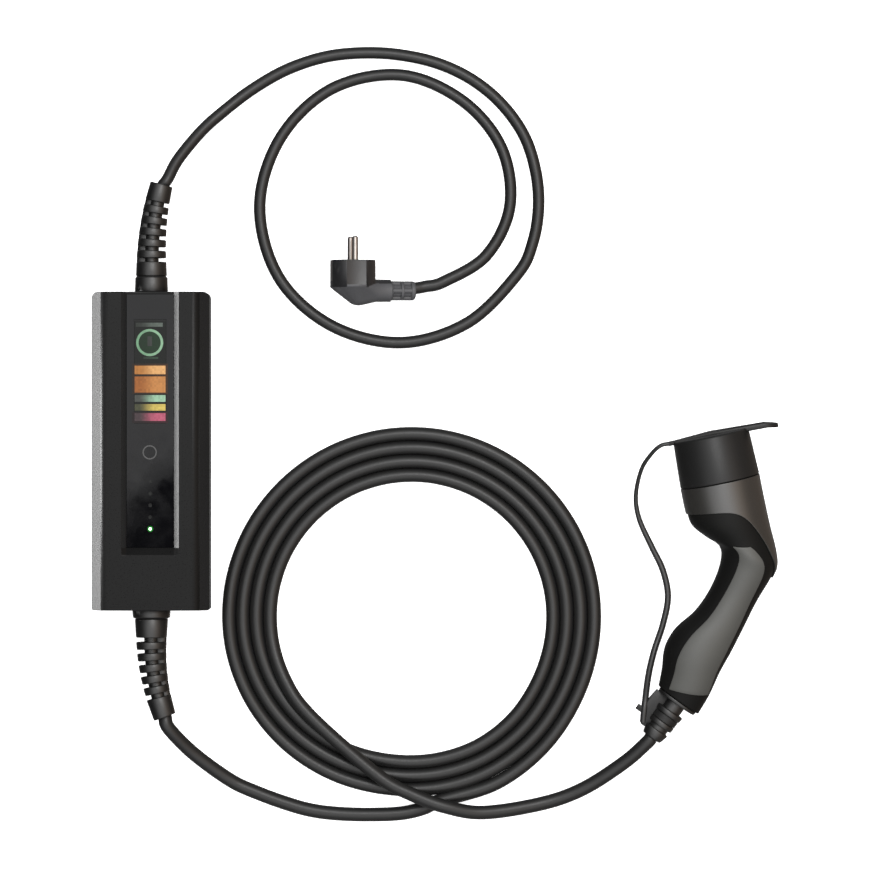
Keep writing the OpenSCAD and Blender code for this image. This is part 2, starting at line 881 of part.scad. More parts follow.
module mains_cord() {
    arrive = plug_point([plug_arm_l + exit_l, plug_arm_y, 0]);
    last = plug_point([plug_arm_l, plug_arm_y, 0]);
    route = concat([relief_tip, relief_exit], mains_route, [arrive, last]);
    color(rubber)
        sweep(curve(route, 2), round_section(mains_cord_d, 10));
}

module vehicle_cord_lead() {
    across = function (p) [p[0], -p[1], p[2]];
    route = concat([across(relief_tip), across(relief_exit)], lead_route);
    color(rubber)
        sweep(curve(route, 2), round_section(vehicle_cord_d, 10));
}

module vehicle_cord_coil() {
    r = vehicle_cord_d / 2;
    color(rubber)
        translate(coil_place)
            rotate_extrude()
                for (k = [0:coil_turns - 1])
                    translate([coil_outer_r - r - k * coil_pitch, r])
                        circle(r, $fn = 24);
}

module vehicle_cord_tail() {
    arrive = connector_point(tail_point + (tail_relief_l + exit_l) * tail_axis);
    last = connector_point(tail_point + tail_relief_l * tail_axis);
    color(rubber)
        sweep(curve(concat(tail_route, [arrive, last]), 2), round_section(vehicle_cord_d, 10));
}

// Places a piece of the connector: its nose points along +Y and its side faces up
module on_connector() {
    translate(connector_place)
        rotate([connector_tilt, 0, 0])
            rotate([0, 0, connector_turn])
                children();
}

// One half of the handle, from angle a0 to a0 + 180 around its axis
module handle_half(a0) {
    rows = last_station * steps_per_station;
    grid = function (d) [for (i = [0:rows])
        [for (j = [0:half_sides]) handle_point(i / steps_per_station, a0 + 180 * j / half_sides, d)]];
    color(charcoal)
        on_connector()
            slab(grid(0), grid(-handle_wall));
}

module handle_shell_left() {
    handle_half(0);
}

module handle_shell_right() {
    handle_half(180);
}

// A patch of trim on the handle. The function spot gives [angle, place along the stations]
// for a share u across the patch and a share v along it.
module trim_patch(cols, rows, spot) {
    lift = 0.12;
    grid = function (d) [for (i = [0:rows])
        [for (j = [0:cols])
            let (at = spot(j / cols, i / rows))
            handle_point(at[1], at[0], d)]];
    on_connector()
        slab(grid(lift + trim_t), grid(lift));
}

// The sleeve's rear edge runs out in a tongue down the right side of the handle
module head_sleeve() {
    front = 0.02;
    short = 1.3;
    long = 5;
    curve = 7;
    rear = function (a) short + (long - short) * pow((1 + cos(a)) / 2, curve);
    color(charcoal)
        for (a0 = [0, 180])
            trim_patch(half_sides, 24, function (u, v)
                let (a = a0 + 180 * u)
                [a, front + (rear(a) - front) * v]);
}

// The inlay widens from its front end to the belly of the grip. Its edges are pairs of
// [right, left] or [front, back] values.
module grip_inlay(side) {
    right = [75, 30];
    left = [110, 123];
    curve = 0.6;
    front = [2.95, 3.3];
    back = [10, 10.7];
    lerp = function (ends, share) ends[0] + (ends[1] - ends[0]) * share;
    color(inlay_grey)
        trim_patch(10, 18, function (u, v)
            let (w = side > 0 ? u : 1 - u)
            [side * lerp([lerp(right, pow(v, curve)), lerp(left, v)], w),
            lerp([lerp(front, w), lerp(back, w)], v)]);
}

module grip_inlay_left() {
    grip_inlay(1);
}

module grip_inlay_right() {
    grip_inlay(-1);
}

// Outline of the nose across its axis: round, with a flat along the top
module nose_outline(r, flat) {
    intersection() {
        circle(r);
        translate([-2 * r, -2 * r])
            square([2 * r + flat, 4 * r]);
    }
}

// Lays out a piece of the nose: x points to the top of the nose and z out of it
module on_nose(y0) {
    on_connector()
        translate([0, y0, 0])
            rotate([-90, 0, 0])
                children();
}

module nose_shroud() {
    color(nylon)
        on_nose(-nose_root)
            difference() {
                linear_extrude(nose_root + nose_l)
                    nose_outline(nose_r, nose_flat);
                translate([0, 0, -1])
                    linear_extrude(nose_root + nose_l + 2)
                        nose_outline(nose_r - nose_wall, nose_flat - nose_wall);
            }
}

// Round pieces of the nose at the given places between two distances from the head
module contacts(places, r, y0, y1) {
    for (p = places)
        translate([p[0], p[1], y0])
            cylinder(h = y1 - y0, r = r);
}

module contact_carrier() {
    power_r = power_pin_d / 2 + contact_wall;
    signal_r = signal_pin_d / 2 + contact_wall;
    tip = nose_floor_t + contact_l;
    color(nylon)
        on_nose(0)
            difference() {
                union() {
                    linear_extrude(nose_floor_t)
                        nose_outline(nose_r - nose_wall - 0.05, nose_flat - nose_wall - 0.05);
                    contacts(concat(power_places, spare_places), power_r + tower_wall, 0, tip);
                    contacts(signal_places, signal_r + tower_wall, 0, tip);
                }
                contacts(power_places, power_r, -1, tip + 1);
                contacts(spare_places, power_r, nose_floor_t, tip + 1);
                contacts(signal_places, signal_r, -1, tip + 1);
            }
}

// Contact sleeves for pins of the given diameter
module contact_sleeves(places, d) {
    tip = nose_floor_t + contact_l;
    color(brass)
        on_nose(0)
            difference() {
                contacts(places, d / 2 + contact_wall, 0, tip - 1);
                contacts(places, d / 2, nose_floor_t, tip);
            }
}

module power_contacts() {
    contact_sleeves(power_places, power_pin_d);
}

module signal_contacts() {
    contact_sleeves(signal_places, signal_pin_d);
}

// Lays out a piece on the connector's tail: its own +Y runs out along the cord
module on_tail(y0) {
    on_connector()
        translate(tail_point + y0 * tail_axis)
            rotate([0, 0, 180 + tail_turn])
                children();
}

module connector_bend_relief() {
    r = tail_r - handle_wall - fit_gap;
    tip_r = vehicle_cord_d / 2 + 2;
    groove_r = tip_r + 0.6;
    color(rubber)
        on_tail(0) {
            rod(tail_r - handle_wall - tail_root_gap, -tail_relief_root, tail_relief_root);
            scale([tail_w / tail_d, 1, 1])
                rod(tail_r - 1.5, fit_gap, tail_flange_t);
            rod(groove_r, -fit_gap, tail_relief_l - 2);
            rod(r - 0.6, ring_along - ring_w / 2 - 5, 4.5);
            rod(r - 1.4, ring_along + ring_w / 2 + 0.5, 4.5);
            taper(r - 2, tip_r, tail_relief_l - 8, 8);
        }
}

module connector_cord_clamp() {
    color(nylon)
        on_tail(-tail_relief_root - tail_clamp_l)
            difference() {
                rod(vehicle_cord_d / 2 + tail_clamp_t, 0, tail_clamp_l);
                rod(vehicle_cord_d / 2, -1, tail_clamp_l + 2);
            }
}

module strap_ring() {
    groove_r = vehicle_cord_d / 2 + 2.6;
    start = ring_along - ring_w / 2;
    color(rubber)
        on_tail(0)
            difference() {
                union() {
                    rod(groove_r + ring_t + 0.1, start, ring_w);
                    translate([0, start, -ring_t / 2])
                        cube([ring_lug - fit_gap, ring_w, ring_t]);
                    // tab beside the relief, and the knob that locks the strap
                    translate([0, 0, -ring_t / 2])
                        linear_extrude(ring_t)
                            polygon([[tab_in, tab_from], [tab_out, tab_from],
                                [tab_out, knob_from], [knob_reach, knob_from],
                                [knob_reach, knob_to], [tab_out, knob_to],
                                [tab_in + 2, tab_to], [tab_in, tab_to]]);
                }
                rod(groove_r + 0.1, start - 1, ring_w + 2);
            }
}

module cap_strap() {
    first = connector_point(strap_root - [cap_gap, 0, 0]);
    leave = connector_point(strap_root - [strap_w, 0, 0]);
    last = connector_point(strap_end);
    oval = [for (q = round_section(1, 8)) [q[0] * strap_t, q[1] * strap_w]];
    color(rubber)
        sweep(curve(concat([first, leave], strap_route, [last]), 2), oval);
}

module dust_cap() {
    inner = nose_r + cap_gap;
    top = nose_l + cap_gap + lid_t;
    edge = 1.5;
    color(charcoal)
        on_nose(0) {
            rotate_extrude()
                polygon([[inner, cap_gap], [cap_d / 2, cap_gap], [cap_lid_d / 2, top - edge],
                    [cap_lid_d / 2 - edge, top], [0, top], [0, top - lid_t], [inner, top - lid_t]]);
            translate([0, 0, top - lid_t])
                linear_extrude(lid_t - edge) {
                    translate([0, -tab_w / 2])
                        square([cap_lid_d / 2 + tab_l - tab_w / 2, tab_w]);
                    translate([cap_lid_d / 2 + tab_l - tab_w / 2, 0])
                        circle(tab_w / 2);
                }
            translate([strap_root[0], -strap_w / 2, top - lid_t])
                cube([-strap_root[0], strap_w, lid_t - edge]);
        }
}

rear_cover();
front_cover();
housing_seal();
front_panel();
display_module();
status_lights();
touch_pad();
main_board();
power_relays();
leakage_sensor();
supply_module();
mains_terminals();
vehicle_terminals();
cover_screws();
board_screws();
mains_cord_clamp();
vehicle_cord_clamp();
mains_bend_relief();
vehicle_bend_relief();
plug_body();
plug_pins();
plug_earth_clips();
plug_cord_relief();
mains_cord();
vehicle_cord_lead();
vehicle_cord_coil();
vehicle_cord_tail();
handle_shell_left();
handle_shell_right();
head_sleeve();
grip_inlay_left();
grip_inlay_right();
nose_shroud();
contact_carrier();
power_contacts();
signal_contacts();
connector_cord_clamp();
connector_bend_relief();
strap_ring();
cap_strap();
dust_cap();
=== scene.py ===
"""Portable electric-vehicle charger, laid out flat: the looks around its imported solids.

Lengths are in millimetres and become metres when a piece is finished. +Z points up from the floor.
"""

import math

import bmesh
import bpy
from mathutils import Matrix, Vector


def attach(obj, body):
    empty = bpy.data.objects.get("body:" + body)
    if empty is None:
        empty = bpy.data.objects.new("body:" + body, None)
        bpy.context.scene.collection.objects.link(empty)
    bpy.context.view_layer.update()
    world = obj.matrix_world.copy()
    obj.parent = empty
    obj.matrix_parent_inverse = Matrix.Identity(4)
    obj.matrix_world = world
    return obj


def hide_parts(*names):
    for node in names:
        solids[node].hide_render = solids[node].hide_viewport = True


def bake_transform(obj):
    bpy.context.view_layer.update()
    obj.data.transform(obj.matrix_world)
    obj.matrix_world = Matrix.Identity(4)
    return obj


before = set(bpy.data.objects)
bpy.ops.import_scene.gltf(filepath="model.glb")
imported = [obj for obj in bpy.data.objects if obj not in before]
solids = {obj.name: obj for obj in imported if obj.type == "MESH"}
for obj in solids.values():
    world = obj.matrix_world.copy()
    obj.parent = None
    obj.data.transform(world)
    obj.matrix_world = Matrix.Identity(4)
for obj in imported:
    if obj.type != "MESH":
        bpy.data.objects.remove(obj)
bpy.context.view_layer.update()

MM = 0.001

# Sizes of the real object. They are those of the solids, but for the panel's edges, the cap's lid and tab,
# the strap and the bend of the mains relief, which are fitted more closely to the photograph.
BOX_HALF_W = 47
BOX_HALF_L = 127
BOX_D = 52
PARTING_Z = 26
BEVEL = 10
TROUGH_HALF = 23
PANEL_HALF_W = 18.9
PANEL_WIDEN = 1.9
PANEL_EDGE_FROM = 15.5
PANEL_TOP = 48
PANEL_T = 2
PANEL_Y0 = -77
PANEL_Y1 = 125
TROUGH_END = -83
BOX_WALL = 2.8
ROOF_Z = 43
RELIEF_BASE_L = 25
RELIEF_BENT_L = 62
MAINS_TURN = math.radians(15)
VEHICLE_TURN = math.radians(20)
MAINS_CORD_D = 9.6
VEHICLE_CORD_D = 11.2
HEAD_R = 30.8
GRIP_W = 48.6
GRIP_T = 47
TAIL_R = 15.4
TAIL_W = 39
HANDLE_WALL = 3
HANDLE_EDGE = 0.5
TRIM_LIFT = 0.12
TRIM_T = 1.2
TRIM_EDGE = 0.35
NOSE_L = 33
CAP_GAP = 0.35
CAP_R = 32
CAP_LID_R = 30.5
LID_T = 5
LID_TOP = NOSE_L + CAP_GAP + LID_T
CAP_BORE_R = 27.75
TAB_L = 24
TAB_W = 22
TAB_T = 3.6
TAB_TOP = LID_TOP + 0.8
STRAP_W = 6
STRAP_T = 5.2

PLUG = Matrix.Translation((161, 153, 18.5)) @ Matrix.Rotation(math.radians(12), 4, "Y")
CONNECTOR = (
    Matrix.Translation((454.4, -24, 33.65))
    @ Matrix.Rotation(math.radians(3.6), 4, "X")
    @ Matrix.Rotation(math.radians(11.5), 4, "Z")
)
ACROSS_Y = Matrix.Rotation(math.radians(90), 4, "X")
NOSE = CONNECTOR @ Matrix.Rotation(math.radians(-90), 4, "X")
TAIL_ANGLE = -47
TAIL_POINT = Vector((-67.2, -165.3, 0))
TAIL = (
    CONNECTOR
    @ Matrix.Translation(TAIL_POINT)
    @ Matrix.Rotation(math.pi + math.radians(TAIL_ANGLE), 4, "Z")
)

# Handle stations: axis x, axis y, angle of the section, half width, half thickness
STATIONS = [
    Vector(row)
    for row in (
        (0, 0, 0, HEAD_R, HEAD_R),
        (0, -18, -4, HEAD_R, HEAD_R),
        (1, -36, -12, HEAD_R, HEAD_R * 0.98),
        (6, -52, -23, HEAD_R * 0.92, HEAD_R * 0.88),
        (10, -63, -30, GRIP_W * 0.49, GRIP_T * 0.57),
        (6, -74, -28, GRIP_W * 0.435, GRIP_T * 0.51),
        (-7, -91, -29, GRIP_W * 0.395, GRIP_T * 0.465),
        (-22, -108, -32, GRIP_W * 0.42, GRIP_T * 0.475),
        (-38, -122, -34, GRIP_W / 2, GRIP_T / 2),
        (-50, -136, -36, GRIP_W / 2, GRIP_T * 0.49),
        (-58.5, -152, -41, (GRIP_W + TAIL_W) / 4, (GRIP_T + 2 * TAIL_R) / 4),
        (TAIL_POINT.x, TAIL_POINT.y, TAIL_ANGLE, TAIL_W / 2, TAIL_R),
    )
]
LAST_STATION = len(STATIONS) - 1

# Points nearer than this are merged: in metres in the solids' meshes, in mm in new skins
MERGE_SOLID = 1e-6
MERGE_SKIN = 1e-4


def linear(colour):
    """An sRGB hex colour as linear RGBA."""
    channels = [int(colour[i : i + 2], 16) / 255 for i in (1, 3, 5)]
    return [
        c / 12.92 if c <= 0.04045 else ((c + 0.055) / 1.055) ** 2.4 for c in channels
    ] + [1.0]


def add(tree, kind, values=None, **properties):
    """One shader node. A value that is a socket is linked, any other is set."""
    made = tree.nodes.new(kind)
    for name, value in properties.items():
        setattr(made, name, value)
    for name, value in (values or {}).items():
        if isinstance(value, bpy.types.NodeSocket):
            tree.links.new(value, made.inputs[name])
        else:
            made.inputs[name].default_value = value
    return made


def empty_material(name):
    """A material with nothing in its tree but the output."""
    material = bpy.data.materials.new(name)
    material.use_nodes = True
    tree = material.node_tree
    tree.nodes.clear()
    return material, tree, tree.nodes.new("ShaderNodeOutputMaterial")


def moulded(name, dark, light, roughness, grit, depth, cloud=45, **shader):
    """A moulded plastic or rubber: a tone that drifts over cloud mm and a skin with grit mm wide grains."""
    material, tree, out = empty_material(name)
    place = add(tree, "ShaderNodeTexCoord").outputs["Object"]
    drift = add(
        tree,
        "ShaderNodeTexNoise",
        {"Vector": place, "Scale": 1 / (cloud * MM), "Detail": 2.0},
    )
    grains = add(
        tree,
        "ShaderNodeTexNoise",
        {"Vector": place, "Scale": 1 / (grit * MM), "Detail": 2.0},
    )
    tone = add(
        tree,
        "ShaderNodeMix",
        {0: drift.outputs["Fac"], 6: linear(dark), 7: linear(light)},
        data_type="RGBA",
    )
    gloss = add(
        tree,
        "ShaderNodeMapRange",
        {
            "Value": grains.outputs["Fac"],
            "From Min": 0.25,
            "From Max": 0.75,
            "To Min": roughness - 0.05,
            "To Max": roughness + 0.05,
        },
    )
    skin = add(
        tree,
        "ShaderNodeBump",
        {"Height": grains.outputs["Fac"], "Distance": depth * MM, "Strength": 1.0},
    )
    surface = add(
        tree,
        "ShaderNodeBsdfPrincipled",
        {
            "Base Color": tone.outputs[2],
            "Roughness": gloss.outputs["Result"],
            "Normal": skin.outputs["Normal"],
            **{key.replace("_", " "): value for key, value in shader.items()},
        },
    )
    tree.links.new(surface.outputs["BSDF"], out.inputs["Surface"])
    return material


def drawn_metal(name, dark, light, roughness, line=0.5, run=9):
    """A turned or drawn metal: fine lines line mm wide and run mm long."""
    material, tree, out = empty_material(name)
    place = add(tree, "ShaderNodeTexCoord").outputs["Object"]
    stretch = add(
        tree,
        "ShaderNodeMapping",
        {"Vector": place, "Scale": (1 / (line * MM), 1 / (run * MM), 1 / (line * MM))},
    )
    lines = add(
        tree,
        "ShaderNodeTexNoise",
        {"Vector": stretch.outputs["Vector"], "Scale": 1.0, "Detail": 3.0},
    )
    tone = add(
        tree,
        "ShaderNodeMix",
        {0: lines.outputs["Fac"], 6: linear(dark), 7: linear(light)},
        data_type="RGBA",
    )
    gloss = add(
        tree,
        "ShaderNodeMapRange",
        {
            "Value": lines.outputs["Fac"],
            "To Min": roughness - 0.08,
            "To Max": roughness + 0.08,
        },
    )
    surface = add(
        tree,
        "ShaderNodeBsdfPrincipled",
        {
            "Base Color": tone.outputs[2],
            "Roughness": gloss.outputs["Result"],
            "Metallic": 1.0,
        },
    )
    tree.links.new(surface.outputs["BSDF"], out.inputs["Surface"])
    return material


def lit_field(name, dim, bright, left, right, strength):
    """A lit area of the display: it grows brighter from left to right, in rows of pixels."""
    pixel = 1.6  # drawn coarser than the real 0.2 mm, so that the rows show
    material, tree, out = empty_material(name)
    place = add(tree, "ShaderNodeTexCoord").outputs["Object"]
    snapped = add(
        tree,
        "ShaderNodeVectorMath",
        {0: place, 1: (pixel * MM, pixel * MM, 1.0)},
        operation="SNAP",
    )
    flicker = add(
        tree, "ShaderNodeTexWhiteNoise", {"Vector": snapped.outputs["Vector"]}
    )
    across = add(tree, "ShaderNodeSeparateXYZ", {"Vector": place})
    rise = add(
        tree,
        "ShaderNodeMapRange",
        {
            "Value": across.outputs["X"],
            "From Min": left * MM,
            "From Max": right * MM,
        },
        interpolation_type="SMOOTHSTEP",
    )
    tone = add(
        tree,
        "ShaderNodeMix",
        {0: rise.outputs["Result"], 6: linear(dim), 7: linear(bright)},
        data_type="RGBA",
    )
    level = add(
        tree,
        "ShaderNodeMapRange",
        {
            "Value": flicker.outputs["Value"],
            "To Min": strength * 0.85,
            "To Max": strength * 1.1,
        },
    )
    surface = add(
        tree,
        "ShaderNodeBsdfPrincipled",
        {
            "Base Color": linear("#0a0a0a"),
            "Roughness": 0.1,
            "Specular IOR Level": 0.2,
            "Emission Color": tone.outputs[2],
            "Emission Strength": level.outputs["Result"],
        },
    )
    tree.links.new(surface.outputs["BSDF"], out.inputs["Surface"])
    return material


# Spark-eroded ABS of the covers: satin, near black, with a fine even grain
COVER_ABS = moulded(
    "moulded_abs_covers", "#0a0a0a", "#0e0e0e", 0.3, 0.9, 0.012, Specular_IOR_Level=0.12
)
# Hard-coated acrylic of the front panel: deep black and mirror-smooth, with a faint wipe haze
PANEL_ACRYLIC = moulded(
    "gloss_acrylic_panel", "#050506", "#08080a", 0.07, 14, 0.0, Specular_IOR_Level=0.26
)
# Smoked glass over the display: as glossy as the panel, a touch warmer
SCREEN_GLASS = moulded(
    "smoked_glass_screen", "#050705", "#080a08", 0.07, 12, 0.0, Specular_IOR_Level=0.2
)
# Extruded TPU sheath of the cords: soft sheen, slightly mottled
CORD_TPU = moulded(
    "extruded_tpu_cords", "#121212", "#181818", 0.4, 1.4, 0.02, Specular_IOR_Level=0.42
)
# Moulded TPE of the bend reliefs: black rubber with a soft sheen
RELIEF_TPE = moulded(
    "moulded_tpe_reliefs", "#050505", "#090909", 0.42, 1.1, 0.02, Specular_IOR_Level=0.75
)
# Softer TPE of the cap's strap: a greyer black with a sheen
STRAP_TPE = moulded(
    "moulded_tpe_strap", "#1a1a1a", "#222222", 0.4, 1.1, 0.02, Specular_IOR_Level=0.6
)
# Moulded PVC of the plug: greyer, with a visible erosion grain
PLUG_PVC = moulded("moulded_pvc_plug", "#151516", "#1b1b1d", 0.4, 0.9, 0.03, Specular_IOR_Level=0.6)
# The same PVC on the plug's arm and its cord relief, etched more coarsely for grip and more matt; its paler
# tone is painted light, standing in for light falling on the arm from the −Y side
PLUG_ARM_PAINTED_LIGHT_PVC = moulded(
    "etched_pvc_plug_arm_painted_light", "#3c3c3e", "#464648", 0.5, 1.3, 0.05, Specular_IOR_Level=0.4
)
# Polyamide of the handle halves: matt, nearly black
HANDLE_PA = moulded(
    "moulded_polyamide_handle", "#0d0d0d", "#131312", 0.45, 0.9, 0.02, Specular_IOR_Level=0.1
)
# Satin polyamide of the head sleeve: dark and slightly warm, with a broad sheen
SLEEVE_PA = moulded(
    "satin_polyamide_sleeve", "#1c1b1a", "#242321", 0.34, 0.8, 0.01, Specular_IOR_Level=1.0
)
# Satin TPE of the dust cap, its tab and the strap's ring: near black with a low sheen
CAP_TPE = moulded("satin_tpe_cap", "#131313", "#191919", 0.4, 0.9, 0.015, Specular_IOR_Level=0.28)
# Soft-touch overmoulding of the grip: mid grey and quite matt
GRIP_TPE = moulded("soft_touch_tpe_grip", "#3c3c3a", "#444441", 0.5, 0.8, 0.03)
# Glass-filled polyamide of the nose, the contact carrier and the clamps: dark grey and matt
NOSE_PA = moulded("glass_filled_polyamide_nose", "#202022", "#2b2b2d", 0.5, 0.7, 0.02)
# Silicone cord seal between the covers: dull, a little greyer than the covers
SEAL_SILICONE = moulded("silicone_seal", "#1a1a1c", "#242426", 0.6, 1.2, 0.02)
# Clear polycarbonate light guide, unlit: smooth and dark
GUIDE_PC = moulded(
    "polycarbonate_light_guide", "#0b0c0b", "#121312", 0.15, 1.5, 0.01, Specular_IOR_Level=0.3
)
# Epoxy-glass board with green solder mask: mottled green with a low gloss
BOARD_FR4 = moulded("solder_mask_board", "#174a30", "#1f5a3a", 0.35, 2.5, 0.02, cloud=6)
# Potted components on the board: plain dark plastic
COMPONENT_PBT = moulded("moulded_pbt_components", "#17171a", "#222226", 0.45, 1.0, 0.02)
# Blue polyamide of terminals and supply module: an even mid blue
TERMINAL_PA = moulded("moulded_polyamide_terminals", "#2f5078", "#3a5f8a", 0.45, 1, 0.02)
# Nickel-plated brass of the plug's pins and clips: warm grey with fine drawn lines
PIN_NICKEL = drawn_metal("nickel_plated_brass_pins", "#8d8783", "#b0aaa5", 0.34)
# Zinc-plated steel screws and the touch key's sensor foil: cool grey with fine lines
SCREW_STEEL = drawn_metal("zinc_plated_steel", "#8d8a86", "#b3b0ab", 0.35)
# Silver-plated copper alloy of the contacts: pale and slightly yellow
CONTACT_SILVER = drawn_metal("silver_plated_contacts", "#b79a62", "#d8c08a", 0.28)

# Which finish each solid has that is shown as it is
FINISHES = {
    COVER_ABS: ("rear_cover",),
    SCREEN_GLASS: ("display_module",),
    GUIDE_PC: ("status_lights",),
    SEAL_SILICONE: ("housing_seal",),
    BOARD_FR4: ("main_board",),
    COMPONENT_PBT: ("power_relays", "leakage_sensor"),
    TERMINAL_PA: ("supply_module", "mains_terminals", "vehicle_terminals"),
    SCREW_STEEL: ("cover_screws", "board_screws", "touch_pad"),
    NOSE_PA: (
        "mains_cord_clamp",
        "vehicle_cord_clamp",
        "connector_cord_clamp",
        "nose_shroud",
        "contact_carrier",
    ),
    CONTACT_SILVER: ("power_contacts", "signal_contacts"),
    PIN_NICKEL: ("plug_earth_clips",),
}
for finish, names in FINISHES.items():
    for name in names:
        solids[name].data.materials.clear()
        solids[name].data.materials.append(finish)


def shown(name, data, material, body, stands_for=()):
    """Puts a finished mesh or curve in the scene, on the body that it moves with."""
    data.materials.append(material)
    made = bpy.data.objects.new(name, data)
    bpy.context.scene.collection.objects.link(made)
    if body:
        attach(made, body)
    if stands_for:
        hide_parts(*stands_for)
    return made


def finished(name, bm, material, body="charger", stands_for=(), sharp=35, scale=MM, outward=True):
    """Makes a bmesh a piece: faces outwards, in metres, smooth but for its sharp edges."""
    if outward:
        bmesh.ops.recalc_face_normals(bm, faces=bm.faces)
    bmesh.ops.scale(bm, vec=(scale, scale, scale), verts=bm.verts)
    mesh = bpy.data.meshes.new(name)
    bm.to_mesh(mesh)
    bm.free()
    for face in mesh.polygons:
        face.use_smooth = True
    mesh.set_sharp_from_angle(angle=math.radians(sharp))
    return shown(name, mesh, material, body, stands_for)


def thickened(piece, wall, edge):
    """Gives a skin its wall, inwards, and rounds the edges of the wall."""
    solid = piece.modifiers.new("wall", "SOLIDIFY")
    solid.thickness = wall * MM
    solid.offset = -1
    solid.use_even_offset = True
    rounded = piece.modifiers.new("edges", "BEVEL")
    rounded.width = edge * MM
    rounded.segments = 2
    rounded.limit_method = "ANGLE"
    rounded.angle_limit = math.radians(50)
    return piece


def new_ring(bm, edges):
    """Extrudes a row of edges and returns its new vertices and the row's new edges."""
    made = bmesh.ops.extrude_edge_only(bm, edges=edges)["geom"]
    verts = [g for g in made if isinstance(g, bmesh.types.BMVert)]
    kept = set(verts)
    row = [
        g
        for g in made
        if isinstance(g, bmesh.types.BMEdge) and kept.issuperset(g.verts)
    ]
    return verts, row


def loft(bm, frames, segments=48, closed=True):
    """A skin drawn through circles of radius 1 that the frames place."""
    ring = bmesh.ops.create_circle(bm, segments=segments, radius=1, matrix=frames[0])
    row = list(dict.fromkeys(edge for vert in ring["verts"] for edge in vert.link_edges))
    if closed:
        bmesh.ops.contextual_create(bm, geom=row)
    for before, after in zip(frames, frames[1:]):
        verts, row = new_ring(bm, row)
        bmesh.ops.transform(bm, matrix=after @ before.inverted(), verts=verts)
    if closed:
        bmesh.ops.contextual_create(bm, geom=row)


def circle_frame(place, wide, tall):
    """A frame for loft: a circle across the place's own Y, wide along X and tall along Z."""
    return place @ ACROSS_Y @ Matrix.Diagonal((wide, tall, 1, 1))


FLAT_ANGLE = math.radians(0.4)
RIM_ANGLE = math.radians(40)
RIM_LONG = 1.2


def rounded_rims(bm, rims, radius, steps=2):
    """Rounds the given edges."""
    bmesh.ops.bevel(
        bm,
        geom=rims,
        offset=radius,
        segments=steps,
        profile=0.5,
        affect="EDGES",
        material=-1,
        clamp_overlap=True,
    )


def merged_copy(node):
    """A copy of a solid's mesh, in metres, with its doubled points merged."""
    bm = bmesh.new()
    bm.from_mesh(solids[node].data)
    bmesh.ops.remove_doubles(bm, verts=bm.verts, dist=MERGE_SOLID)
    return bm


def flattened(bm):
    """Joins the faces that lie in one plane."""
    bmesh.ops.dissolve_limit(bm, angle_limit=FLAT_ANGLE, verts=bm.verts, edges=bm.edges)


def softened(name, node, width, material):
    """A copy of a solid's mesh with its long sharp edges rounded."""
    bm = merged_copy(node)
    flattened(bm)
    rims = [
        edge
        for edge in bm.edges
        if edge.is_manifold
        and edge.calc_face_angle() > RIM_ANGLE
        and edge.calc_length() > RIM_LONG * width * MM
    ]
    rounded_rims(bm, rims, width * MM)
    return finished(name, bm, material, "charger", (node,), 35, 1, False)


def spline(before, start, end, after, t):
    """A point on the smooth curve between start and end."""
    return (
        2 * start
        + (end - before) * t
        + (2 * before - 5 * start + 4 * end - after) * t * t
        + (3 * start - before - 3 * end + after) * t**3
    ) / 2


def station(place):
    """The handle's section at a place along its stations."""
    i = min(int(place), LAST_STATION - 1)
    rows = [STATIONS[min(max(k, 0), LAST_STATION)] for k in range(i - 1, i + 3)]
    return spline(*rows, place - i)


def handle_frame(place, out):
    """A frame for loft: the handle's section, moved out by out mm."""
    x, y, turn, wide, tall = station(place)
    here = (
        CONNECTOR
        @ Matrix.Translation((x, y, 0))
        @ Matrix.Rotation(math.radians(turn), 4, "Z")
    )
    return circle_frame(here, wide + out, tall + out)


# Bend reliefs at both ends of the box
FLIP_Y = Matrix.Diagonal((1, -1, 1, 1))
MAINS_END = Matrix.Translation((0, BOX_HALF_L, PARTING_Z))
VEHICLE_END = Matrix.Translation((0, -BOX_HALF_L, PARTING_Z)) @ FLIP_Y
RELIEF_L = RELIEF_BASE_L + RELIEF_BENT_L
EXIT_L = 10


def bend_place(y, whole_turn):
    """A place on a relief's axis, y mm from the end wall, turned with the bend."""
    radius = RELIEF_BENT_L / whole_turn
    turn = max(y - RELIEF_BASE_L, 0) / radius
    return Matrix.Translation(
        (
            radius * (1 - math.cos(turn)),
            min(y, RELIEF_BASE_L) + radius * math.sin(turn),
            0,
        )
    ) @ Matrix.Rotation(-turn, 4, "Z")


mains_tip = MAINS_END @ bend_place(RELIEF_L, MAINS_TURN)
vehicle_tip = VEHICLE_END @ bend_place(RELIEF_L, VEHICLE_TURN)

# Camera: straight above, far away on a long lens
VIEW_WIDTH = 696
VIEW_H = 5000
SHARP_PLANE = 25
SENSOR = 36
STUDIO = Vector((226.8, 12.8, 0))
camera_data = bpy.data.cameras.new("camera")
camera_data.sensor_width = SENSOR
camera_data.lens = SENSOR * (VIEW_H - SHARP_PLANE) / VIEW_WIDTH
camera_data.clip_start = 0.1
camera_data.clip_end = 100
camera = bpy.data.objects.new("camera", camera_data)
camera.location = (STUDIO + Vector((0, 0, VIEW_H))) * MM
bpy.context.scene.collection.objects.link(camera)
bpy.context.scene.camera = camera


# Cords
CORD_STEPS = 10
CORD_SIDES = 10


